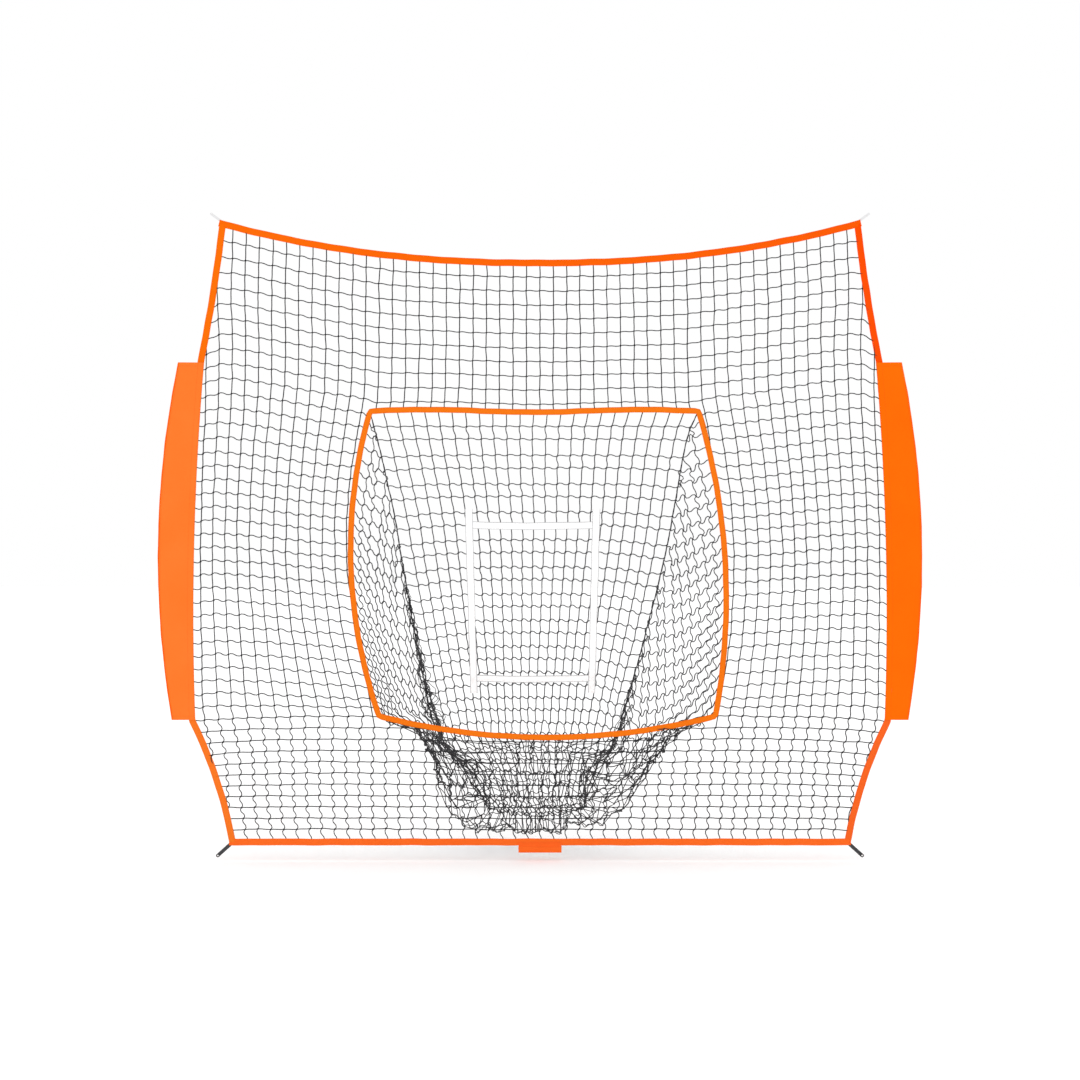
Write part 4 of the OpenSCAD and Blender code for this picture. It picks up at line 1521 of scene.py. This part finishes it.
        # ties of one colour share no point, so that they are corrected together
        groups = [(*ends[colour == c].T, rest[colour == c]) for c in range(colour.max() + 1)]
        lean = math.radians(self.tilt)
        speed, step = np.zeros_like(x), 1 / 60
        for _ in range(frames):
            pull = np.column_stack([
                -self.gather * (x[:, 0] - self.gather_x),
                np.full(len(x), GRAVITY * math.sin(lean)),
                np.full(len(x), -GRAVITY * math.cos(lean)),
            ])
            speed = (speed * self.damping + pull * step) * w[:, None]
            new = x + speed * step
            for _ in range(passes):
                for a, b, r in groups:
                    way = new[b] - new[a]
                    length, least = np.linalg.norm(way, axis=1), self.folded * r
                    give = np.where(length < least, (length - least) / 2, 0.0)
                    give = np.where(length > r, length - r, give)
                    give = give / np.maximum(length, 1e-9) / np.maximum(w[a] + w[b], 1e-9)
                    new[a] += way * (give * w[a])[:, None]
                    new[b] -= way * (give * w[b])[:, None]
                new[free, 1] = np.clip(new[free, 1], *self.room)
                new[free, 2] = np.maximum(new[free, 2], self.floor)
            speed = (new - x) / step
            x = new
        net.points = list(x)

    def seen(self, points: Line) -> tuple[Line, np.ndarray]:
        """Returns the X and Z of points as seen from straight in front, and how much smaller they look."""
        near = self.eye_distance / (self.eye_distance + points[:, 1])
        height = self.eye_height + (points[:, 2] - self.eye_height) * near
        return np.column_stack([points[:, 0] * near, height]), near

    def fit_seams(self) -> None:
        """Evens both seams and brings them, with what hangs on them, to where they lie."""
        shape = np.array(self.net.points)
        lay = np.array(self.net.lay)
        turn, rows = self.turn, np.arange(self.rows + 1)
        ease = np.clip(1 - (rows - turn) / self.turn_rows, 0, 1)
        third = self.columns // 3
        inner = range(third, 2 * third + 1)
        level = np.array([shape[[self.grid[i, j] for i in inner]].mean(0) for j in rows])
        low = level[: turn + 1, 2] < self.turn_z
        level[: turn + 1, 2][low] = self.turn_z + (level[: turn + 1, 2][low] - self.turn_z) * self.turn_flat
        for side, column, table in zip(Side, (0, self.columns), (self.left_seam, self.right_seam)):
            ids = [self.grid[column, j] for j in rows]
            was = shape[ids].copy()
            line = was[: turn + 1].copy()
            for _ in range(self.smoothing):
                line[1:-1] = line[1:-1] / 2 + (line[:-2] + line[2:]) / 4
            # the knots slide along the seam until the rows hang level between both seams
            height = level[1 : turn + 1, 2] + np.interp(rows[1 : turn + 1] / turn, self.rise_rows, self.rise)
            line[1:, 1] = np.interp(height, line[::-1, 2], line[::-1, 1])
            line[1:, 2] = height
            seen, near = self.seen(line)
            x, z = np.array(table).T
            line[1:, 0] += ((np.interp(seen[:, 1], z, x) - seen[:, 0]) / near)[1:]
            shift = np.zeros_like(was)
            shift[: turn + 1] = line - was[: turn + 1]
            shift[turn + 1 :] = shift[turn] * ease[turn + 1 :, None]
            shape[ids] = was + shift
            knots = self.gusset_knots[side]
            row = lay[knots][:, 1]
            place = np.clip(row / self.gusset_low, 0, 1) * self.low_row
            share = np.abs(lay[knots][:, 0]) / np.maximum(self.gusset_width * row / self.gusset_low, 0.4)
            for axis in range(3):
                shape[knots, axis] += np.interp(place, rows, shift[:, axis]) * np.clip(share, 0, 1) ** 2
        across = np.linspace(-1, 1, self.columns + 1)
        for j in rows[1:-1]:
            ids = [self.grid[i, j] for i in range(self.columns + 1)]
            ends = np.where(across[:, None] < 0, shape[ids[0]], shape[ids[-1]])
            even = level[j] + (ends - level[j]) * across[:, None] ** 2
            even[:, 0] = np.linspace(shape[ids[0], 0], shape[ids[-1], 0], self.columns + 1)
            shape[ids] += (even - shape[ids]) * self.level_hold * ease[j]
        self.net.points = list(shape)

    def fill_sack(self) -> None:
        """Gathers the sack inside its outline and crumples it."""
        shape = np.array(self.net.points)
        seen, near = self.seen(shape)
        middle = np.array(self.sack_middle)
        outline = np.array(self.sack_outline) - middle
        bend, far = np.arctan2(outline[:, 0], -outline[:, 1]), np.hypot(*outline.T)
        from_middle = seen - middle
        angle = np.arctan2(from_middle[:, 0], -from_middle[:, 1])
        rng = np.random.default_rng(12)
        reach = np.interp(angle, bend, far) * (
            self.sack_reach - np.abs(rng.normal(0, self.sack_uneven, len(angle)))
        )
        share = np.hypot(*from_middle.T) / reach
        gathered = np.where(share < 0.5, share, 0.5 + 0.5 * np.tanh((share - 0.5) / 0.5))
        weight = smooth_step(shape[:, 2], *self.sack_z) * smooth_step(shape[:, 1], *self.sack_y)
        wall = [k for (_, j), k in self.grid.items() if j <= self.turn]
        weight[wall] = 0
        # the folds share the sack's room evenly
        inside = np.nonzero(weight > 0.05)[0]
        beside = np.abs(angle[inside][:, None] - angle[inside]) < self.fold_angle
        below = beside & (share[inside][None, :] < share[inside][:, None])
        even = np.sqrt((below.sum(1) + 0.5) / beside.sum(1))
        # near the mouth's tape the netting stays as it hangs
        hold = self.evenness * smooth_step(np.abs(angle), *self.mouth_angle)
        gathered[inside] += (even - gathered[inside]) * hold[inside]
        fine = np.linspace(bend[0], bend[-1], 200)
        room = np.cumsum(np.interp(fine, bend, far) ** 2)
        order = inside[np.argsort(angle[inside])]
        even = np.interp((np.arange(len(order)) + 0.5) / len(order), room / room[-1], fine)
        turned = angle.copy()
        turned[order] += (even - angle[order]) * hold[order]
        reach *= np.interp(turned, bend, far) / np.interp(angle, bend, far)
        wanted = middle + (gathered * reach)[:, None] * np.column_stack([np.sin(turned), -np.cos(turned)])
        shape[:, ::2] += (wanted - seen) * (weight / near)[:, None]
        free = ~np.array(self.net.pinned)
        crumple = rng.normal(0, 1, shape.shape) * self.crumple
        low = smooth_step(shape[:, 2], *self.crumple_z) * free
        low[wall] *= self.crumple_wall
        shape += crumple * (self.crumple_high * free + (1 - self.crumple_high) * low)[:, None]
        shape[:, 1] = np.clip(shape[:, 1], self.plan.front_y, self.room[1])
        shape[:, 2] = np.maximum(shape[:, 2], self.floor)
        self.net.points = list(shape)

    def lean_on_target(self) -> None:
        """Brings the middle of the back wall to the plane in which the target hangs."""
        for (_, j), k in self.grid.items():
            point = self.net.points[k]
            if 0 < j < self.turn:
                near = smooth_step(abs(point[0] - self.target_x), *self.plane_x)
                near *= smooth_step(point[2], *self.plane_z)
                flat = float(self.plan.wall_y(point[2])) + self.plane_back
                point[1] += (flat - point[1]) * float(near)

    def wave(self, net: Netting, p: int, q: int, twine: Twine, length: float) -> float:
        """Returns the height of a cord's turns, from how slack it hangs."""
        slack = max(0.0, self.mesh / length - 1) if length > 0.02 else 0.2
        # the gussets hang slacker than the wall between them
        most, least, loose = self.gusset_turns if max(p, q) >= len(self.grid) else self.wall_turns
        height = min(most, least + loose * length / math.pi * math.sqrt(slack))
        return height * (0.75 + 0.5 * jitter(p, q)) * (1 if twine is Twine.ROW else -1)

    def build(self) -> list[bpy.types.Object]:
        """Returns the back wall, both gussets, the floor and the seams."""
        net, turn = self.net, self.turn
        self.lay_strip()
        spans = {side: self.lay_gusset(side) for side in Side}
        quick, full = self.frames
        self.hang(full)
        self.fit_seams()
        self.fill_sack()
        self.lean_on_target()
        wall, sack = [], []
        for twine, ids in net.strands[: spans[Side.LEFT][0]]:
            if twine is Twine.ROW:
                (wall if net.lay[ids[0]][1] <= turn else sack).append((twine, ids))
            else:
                wall.append((twine, ids[: turn + 1]))
                sack.append((twine, ids[turn:]))
        in_strip = [k for k in net.knots if k < len(self.grid)]
        parts = {
            "back_wall": (wall, [k for k in in_strip if net.lay[k][1] <= turn]),
            "sack_floor": (sack, [k for k in in_strip if net.lay[k][1] > turn]),
        }
        for side, span in spans.items():
            parts[f"{side.word}_gusset"] = (net.strands[slice(*span)], self.gusset_knots[side])
        pieces = []
        for name, (strands, knots) in parts.items():
            radius = 0.0015 if name == "sack_floor" else 0.0018
            nodes = ("back_wall", "back_wall_left", "back_wall_right") if name == "back_wall" else (name,)
            work = TwineWork(radius=radius, seed=len(name), finish=POCKET_CORD)
            pieces.append(work.build(name + "_twine", net, strands, self.wave, knots, "", *nodes))
        pieces.append(self.seams())
        for piece in pieces:
            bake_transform(piece)
        return pieces

    def seams(self) -> bpy.types.Object:
        """Returns the lacing down both side seams and the loose turns gathered along it."""
        drawn = []
        # the left seam has more loose turns, which reach further out and up
        for column, loose, spread, top in ((0, 8, 0.040, 1.00), (self.columns, 3, 0.020, 0.60)):
            line = np.array([self.net.points[self.grid[column, j]] for j in range(self.rows + 1)])
            fine = at(line, np.linspace(0, 1, 260))
            run, turn = run_of(fine), np.arange(260) * 0.55
            for phase in (0.0, math.pi):
                circle = np.column_stack([np.cos(turn + phase), np.sin(turn + phase), np.zeros(260)])
                drawn.append(fine + circle * self.lacing)
            last = np.searchsorted(run, run_of(line)[self.turn])
            bunch = spread * smooth_step(fine[:, 2], top, 0.30) + 0.0016
            first = int(np.argmax(fine[:, 2] < top))
            rng = np.random.default_rng(90 + column)
            for k in range(loose):
                seed = 90 + column + 5 * k
                lengths = enumerate((0.17, 0.22, 0.14))
                waves = np.column_stack([ripple(run, length, seed + n) for n, length in lengths])
                small = np.column_stack([ripple(run, 0.038, seed + 100 + n) for n in range(3)])
                aside = waves * [1.0, 0.5, 0.3] * bunch[:, None] + small * 0.0035
                drawn.append((fine + aside)[first + 5 * k : int(last * rng.uniform(0.82, 1.0))])
        for spot in drawn:
            spot[:, 1:] = np.maximum(spot[:, 1:], [0.0035, self.floor])
        return hand_over(corded("seam_lacing", drawn, self.lacing), SEAM_CORD, "netting", "", sharp=60)


# ---- target ----


@dataclass
class Target:
    """Four straps that mark the target on the back wall."""

    plan: NetPlan = PLAN
    width: float = 0.025
    thick: float = 0.0014
    down: float = 0.677
    shift: float = -0.025
    half_wide: tuple[float, float] = (0.2135, 0.2045)
    half_high: float = 0.280
    tail: float = 0.044
    # height of the uprights over the wall, and of the hook patches' middle
    over: float = 0.0020
    patch_out: float = 0.0009

    @property
    def lean(self) -> float:
        """Returns the angle at which the wall leans back."""
        return math.atan(self.plan.wall_slope)

    @property
    def out_way(self) -> tuple[float, float, float]:
        """Returns the way straight out of the wall."""
        return 0.0, -math.cos(self.lean), -math.sin(self.lean)

    def on_wall(self, across: np.ndarray, up: np.ndarray, out: np.ndarray) -> Line:
        """Lays points on the leaning wall.

        Args:
            across: Distance to the right of the target's middle.
            up: Distance upwards along the wall.
            out: Distance in front of the wall.

        Returns:
            The points.
        """
        sine, cosine = math.sin(self.lean), math.cos(self.lean)
        y = self.plan.front_y + 0.0003 - out * cosine - (up - self.down) * sine
        z = self.plan.mouth_high - out * sine + (up - self.down) * cosine
        return np.column_stack([across + self.shift, y, z])

    def strap(self, word: str, middle: Line, breadth: Line, out: float, seed: int) -> tuple:
        """Builds one strap with its edge stitches.

        Args:
            word: The last word of its CAD node.
            middle: Its middle line, across and up.
            breadth: The way across the strap.
            out: Height of its underside over the wall.
            seed: Number that picks its waviness.

        Returns:
            The strap and its stitch rows.
        """
        length = float(run_of(middle)[-1])

        def spot(along: np.ndarray, across: np.ndarray, lift: float = 0.0) -> Line:
            """Returns points of the strap's middle surface."""
            line = at(middle, along)
            wobble = ripple(along * length, 0.11, seed) * 0.0006
            sway = ripple(along * length, 0.17, seed + 3) * 0.0010
            ease = np.sin(math.pi * np.clip(along, 0, 1))
            d = (across - 0.5) * self.width + sway * ease
            crown = 0.0002 * np.cos((across - 0.5) * math.pi)
            height = out + self.thick / 2 + np.abs(wobble) * ease + crown + lift
            return self.on_wall(line[:, 0] + breadth[0] * d, line[:, 1] + breadth[1] * d, height)

        piece = woven_grid(f"target_{word}_strap", int(length / 0.006), 8, spot, (length, self.width))
        thicken(piece, self.thick)
        close_up(piece)
        hand_over(piece, WEBBING, "white_webbing", "target", f"target_{word}")
        along, lift = np.linspace(0.004, 0.996, 60), self.thick / 2 + 0.0001
        return piece, [(spot(along, np.full(60, edge), lift), self.out_way) for edge in (0.1, 0.9)]

    def build(self) -> list[bpy.types.Object]:
        """Returns the straps, the patches under their ends and the stitches."""
        made = []
        reach = self.half_high + self.width / 2 + self.tail
        wide = dict(zip((1, -1), self.half_wide))
        t = np.linspace(0, 1, 30)
        for end, word in ((1, "top"), (-1, "bottom")):
            half = wide[end] + self.width / 2
            sag = 0.0045 * 4 * t * (1 - t)
            middle = np.column_stack([(2 * t - 1) * half, end * self.half_high - sag])
            made.append(self.strap(word, middle, np.array([0.0, 1.0]), 0.0001, 40 + end))
        slope = (wide[1] - wide[-1]) / (2 * self.half_high)
        for side in Side:
            across = side.value * (np.mean(self.half_wide) + slope * reach * (2 * t - 1))
            middle = np.column_stack([across, (2 * t - 1) * reach])
            made.append(self.strap(side.word, middle, np.array([1.0, 0.0]), self.over, 44 + side.value))
            boxes = [self.box_stitch(side.value * wide[end], end * self.half_high) for end in (1, -1)]
            made[-1][1].extend(boxes[0] + boxes[1])
        rows = [row for _, sewn in made for row in sewn]
        return [piece for piece, _ in made] + [
            self.patches(),
            sewn_line("target_stitches", rows, 0.0035, THREAD_WHITE, "white_webbing", "target"),
        ]

    def box_stitch(self, across: float, up: float) -> list[StitchRow]:
        """Returns the rows of a square with its diagonals, where two straps cross."""
        h, out = self.width / 2 - 0.0035, np.full(6, self.over + self.thick + 0.0009)
        corners = [(-h, -h), (h, -h), (h, h), (-h, h), (-h, -h), (h, h), (h, -h), (-h, h)]
        lines = [np.linspace(a, b, 6) + [across, up] for a, b in zip(corners, corners[1:])]
        return [(self.on_wall(*line.T, out), self.out_way) for line in lines]

    def patches(self) -> bpy.types.Object:
        """Returns the four hook patches under the ends of the upright straps."""
        made = []
        for side in Side:
            for end, half in zip((1, -1), self.half_wide):
                up = self.half_high + self.width / 2 + self.tail / 2
                middle = np.array([side.value * half, end * up])

                def place(along: np.ndarray, across: np.ndarray) -> Line:
                    """Lays a patch flat on the wall."""
                    return self.on_wall(middle[0] + (across - 0.5) * (self.width - 0.003),
                                        middle[1] + (along - 0.5) * (self.tail - 0.006),
                                        np.full(len(along), self.patch_out))

                made.append(woven_grid(f"patch_{side.word}_{end}", 10, 6, place, (self.tail, self.width)))
        piece = joined("target_hook_patches", made)
        thicken(piece, 0.0015, 0.0003)
        return hand_over(piece, WEBBING, "white_webbing", "target", "target_patches")


# ---- base loop ----


@dataclass
class BaseLoop:
    """The tape loop for the ground bar, its flap and the hook and loop patches."""

    length: float = 0.142
    radius: float = 0.011
    thick: float = 0.0019
    leaf_y: float = -0.004
    leaf_top: float = 0.021
    flap_y: float = 0.0064
    flap_top: float = 0.032
    # length and breadth of the patches, and the height of their lower edge
    patch_size: tuple[float, float] = (0.138, 0.016)
    patch_low: float = 0.014

    def arc(self, start: float, end: float, count: int) -> Line:
        """Returns points round the bar, in Y and Z, between two angles in degrees."""
        angle = np.radians(np.linspace(start, end, count))
        return np.column_stack([np.cos(angle), np.sin(angle)]) * self.radius

    def band(self, word: str, line: Line, body: str) -> bpy.types.Object:
        """Builds a band of tape.

        Args:
            word: The last word of its CAD node.
            line: The band's middle, in Y and Z.
            body: The body that it rides on.

        Returns:
            The band.
        """
        run = float(run_of(line)[-1])

        def place(along: np.ndarray, across: np.ndarray) -> Line:
            """Lays the band over the bar."""
            flat = at(line, across)
            edge = (along - 0.5) * self.length
            wave = ripple(across * run, 0.03, 61) * 0.0004 * np.sign(edge)
            edge = edge + wave * (np.abs(edge) > self.length * 0.45)
            return np.column_stack([edge, flat])

        piece = woven_grid(f"base_{word}_tape", 40, max(12, int(run / 0.0018)), place, (self.length, run))
        thicken(piece, self.thick, 0.0004)
        close_up(piece)
        return hand_over(piece, LOOP_TAPE, "tape", body, f"base_{word}")

    def patch(self, name: str, y: float, node: str, body: str) -> bpy.types.Object:
        """Builds a patch with a short uneven pile.

        Args:
            name: The piece's name.
            y: Depth of its middle.
            node: The CAD node that it replaces.
            body: The body that it rides on.

        Returns:
            The patch.
        """
        rng = np.random.default_rng(70)
        length, breadth = self.patch_size

        def place(along: np.ndarray, across: np.ndarray) -> Line:
            """Lays the patch upright with a rough face."""
            rough = rng.uniform(-0.00012, 0.00012, len(along))
            return np.column_stack([(along - 0.5) * length, y + rough, self.patch_low + across * breadth])

        piece = woven_grid(name, 92, 12, place, self.patch_size)
        thicken(piece, 0.0010)
        return hand_over(piece, PILE, "black_hook_and_loop", body, node)

    def build(self) -> list[bpy.types.Object]:
        """Returns the loop, the flap, the patches and the stitches."""
        leaf = np.array([[self.leaf_y, self.leaf_top], [self.leaf_y, 0.0145]])
        loop = np.concatenate([leaf, self.arc(112, 379.6, 40)])
        flap = np.concatenate([self.arc(21, 54, 10), [[self.flap_y, 0.0125], [self.flap_y, self.flap_top]]])
        pieces = [
            self.band("loop", loop, "net"),
            self.band("flap", flap, "base_flap"),
            self.patch("flap_hook_pile", 0.0048, "flap_hook_patch", "base_flap"),
            self.patch("hem_loop_pile", 0.0036, "hem_loop_patch", "net"),
        ]
        x = np.linspace(-self.length / 2 + 0.003, self.length / 2 - 0.003, 30)
        for body, y, face, heights in (
            ("net", self.leaf_y - 0.00105, -1, (0.0185, 0.0150)),
            ("base_flap", self.flap_y + 0.00105, 1, (0.0295, 0.0165)),
        ):
            rows = [(np.column_stack([x, np.full(30, y), np.full(30, z)]), (0.0, face, 0.0)) for z in heights]
            pieces.append(sewn_line(f"{body}_loop_stitches", rows, 0.004, THREAD, "tape", body))
        return pieces


# ---- corner tabs ----


@dataclass
class CornerTab:
    """An elastic tab with an eyelet at a corner of the net."""

    name: str
    side: Side
    corner: tuple[float, float]
    angle: float
    length: float
    width: float
    eye: float
    finish: WovenFinish
    slot: str
    thick: float = 0.0026
    root: float = 0.006

    @property
    def ways(self) -> tuple[float, float]:
        """Returns the X and Z of the way along the tab of a right corner."""
        return math.cos(math.radians(self.angle)), math.sin(math.radians(self.angle))

    def turned(self, along: np.ndarray, across: np.ndarray, depth: np.ndarray) -> Line:
        """Places points given along and across the tab."""
        c, s = self.ways
        x = self.corner[0] + along * c - across * s
        return np.column_stack([x * self.side.value, depth, self.corner[1] + along * s + across * c])

    def rim_of(self, angle: np.ndarray) -> tuple[np.ndarray, np.ndarray]:
        """Returns the tab's outline as seen from the eyelet, by angle from the tab's tip."""
        half, c, s = self.width / 2, np.cos(angle), np.sin(angle)
        by_side = half / np.maximum(np.abs(s), 1e-6)
        by_end = (self.length - half + self.root) / np.maximum(-c, 1e-6)
        reach = np.where(c < 0, np.minimum(by_side, by_end), half)
        return reach * c, reach * s

    def build(self) -> list[bpy.types.Object]:
        """Returns the tab and its eyelet."""
        centre = self.length - self.width / 2
        back = math.atan2(self.width / 2, centre + self.root)
        marks = np.concatenate([
            np.linspace(0, math.pi / 2, 11),
            math.pi - np.arctan2(self.width / 2, np.linspace(0, centre + self.root, 22)[1:]),
            math.pi - np.linspace(back, 0, 5)[1:],
        ])
        marks = np.concatenate([marks, 2 * math.pi - marks[-2::-1]])
        count = len(marks) - 1

        def place(around: np.ndarray, out: np.ndarray) -> Line:
            """Spreads rings between the eyelet and the outline."""
            angle = marks[np.rint(around * count).astype(int)]
            c, s = np.cos(angle), np.sin(angle)
            far, share = self.rim_of(angle), out**1.1
            along = self.eye * c * (1 - share) + far[0] * share + centre
            return self.turned(along, self.eye * s * (1 - share) + far[1] * share, np.zeros(len(along)))

        piece = woven_grid(f"{self.name}_elastic", count, 8, place, (1.0, 1.0))
        points = points_of(piece)
        c, s = self.ways
        for loop, uv in zip(piece.data.loops, piece.data.uv_layers.active.data):
            x, _, z = points[loop.vertex_index]
            dx, dz = x * self.side.value - self.corner[0], z - self.corner[1]
            uv.uv = (dx * c + dz * s, dz * c - dx * s)
        close_up(piece)
        thicken(piece, self.thick, 0.0005)
        close_up(piece, 0.000001)
        hand_over(piece, self.finish, self.slot, "", self.name)
        foot = np.array([self.corner[0] * self.side.value, 0.0, self.corner[1]])
        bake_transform(piece)
        start_clean()
        bpy.ops.mesh.primitive_torus_add(major_segments=24, minor_segments=8,
                                         major_radius=self.eye + 0.0005, minor_radius=0.0006)
        ring = named(f"{self.name}_eyelet")
        local = points_of(ring)
        set_points(ring, self.turned(local[:, 0] + centre, local[:, 1], local[:, 2] * 2.6))
        close_up(ring)
        return [piece, hand_over(ring, self.finish, self.slot, self.name, sharp=60)]


def corner_tabs() -> list[CornerTab]:
    """Returns the four corner tabs."""
    kinds = {
        "bottom": dict(corner=(1.026, 0.012), angle=-42.0, length=0.056, width=0.012, eye=0.0025,
                       finish=BRAID_DARK, slot="black_elastic"),
        "top": dict(corner=(1.059, 2.077), angle=36.0, length=0.036, width=0.008, eye=0.00175,
                    finish=BRAID_LIGHT, slot="grey_elastic", thick=0.0022),
    }
    return [
        CornerTab(name=f"{word}_{side.word}_tab", side=side, **kind)
        for side in Side
        for word, kind in kinds.items()
    ]


# ---- studio ----


@dataclass
class Studio:
    """A pale floor, soft light and a camera straight in front of the net."""

    distance: float = 7.0
    height: float = 1.0197
    lens: float = 70.7
    floor_z: float = -0.040
    floor_light: float = 0.12
    # where the lamps point, and their names, places, sizes and powers
    target: tuple[float, float, float] = (0.0, 0.0, 1.0)
    lamps: tuple = (
        ("key", (-2.6, -5.0, 4.2), 3.0, 21.0),
        ("fill", (3.2, -4.5, 2.6), 3.5, 10.0),
    )

    def build(self) -> None:
        """Adds the floor, the lights and the camera."""
        scene = bpy.context.scene
        scene.view_settings.view_transform = "Standard"
        start_clean()
        bpy.ops.mesh.primitive_plane_add(size=60, location=(0, 10, self.floor_z))
        floor = named("studio_floor")
        recipe = Recipe("pale_floor")
        grain = recipe.noise(recipe.place(), 3.0)
        tone = recipe.mix(grain, dye(255, 255, 255), dye(253, 253, 253))
        floor.data.materials.append(
            recipe.finish(Base_Color=tone, Roughness=0.9, Specular_IOR_Level=0.1,
                          Emission_Color=(1, 1, 1, 1), Emission_Strength=self.floor_light)
        )
        scene.world = bpy.data.worlds.new("studio")
        scene.world.use_nodes = True
        sky = scene.world.node_tree.nodes["Background"].inputs
        sky["Color"].default_value = (1, 1, 1, 1)
        sky["Strength"].default_value = 1.0
        for name, place, size, power in self.lamps:
            light = bpy.data.lights.new(name, "AREA")
            light.size = size
            light.energy = power
            lamp = linked(name, light)
            lamp.location = place
            x, y, z = np.array(self.target) - place
            lamp.rotation_euler = (math.atan2(math.hypot(x, y), -z), 0, math.atan2(-x, y))
        camera = bpy.data.cameras.new("camera")
        camera.lens = self.lens
        camera.sensor_width = 36.0
        camera.clip_end = 200
        eye = linked("camera", camera)
        eye.location = (0, -self.distance, self.height)
        eye.rotation_euler = (math.pi / 2, 0, 0)
        scene.camera = eye


def main() -> None:
    """Builds every sub-assembly in order and reports its pieces."""
    makers = [
        Hems(),
        Sleeve(Side.LEFT, CLOTH_LEFT),
        Sleeve(Side.RIGHT, CLOTH_RIGHT),
        FrontNet(),
        BallPocket(),
        Target(),
        BaseLoop(),
        *corner_tabs(),
    ]
    for maker in makers:
        for piece in maker.build():
            LOG.info("%s: %s, %d faces", type(maker).__name__, piece.name, len(piece.data.polygons))
    Studio().build()
    bpy.context.view_layer.update()


if __name__ == "__main__":
    main()
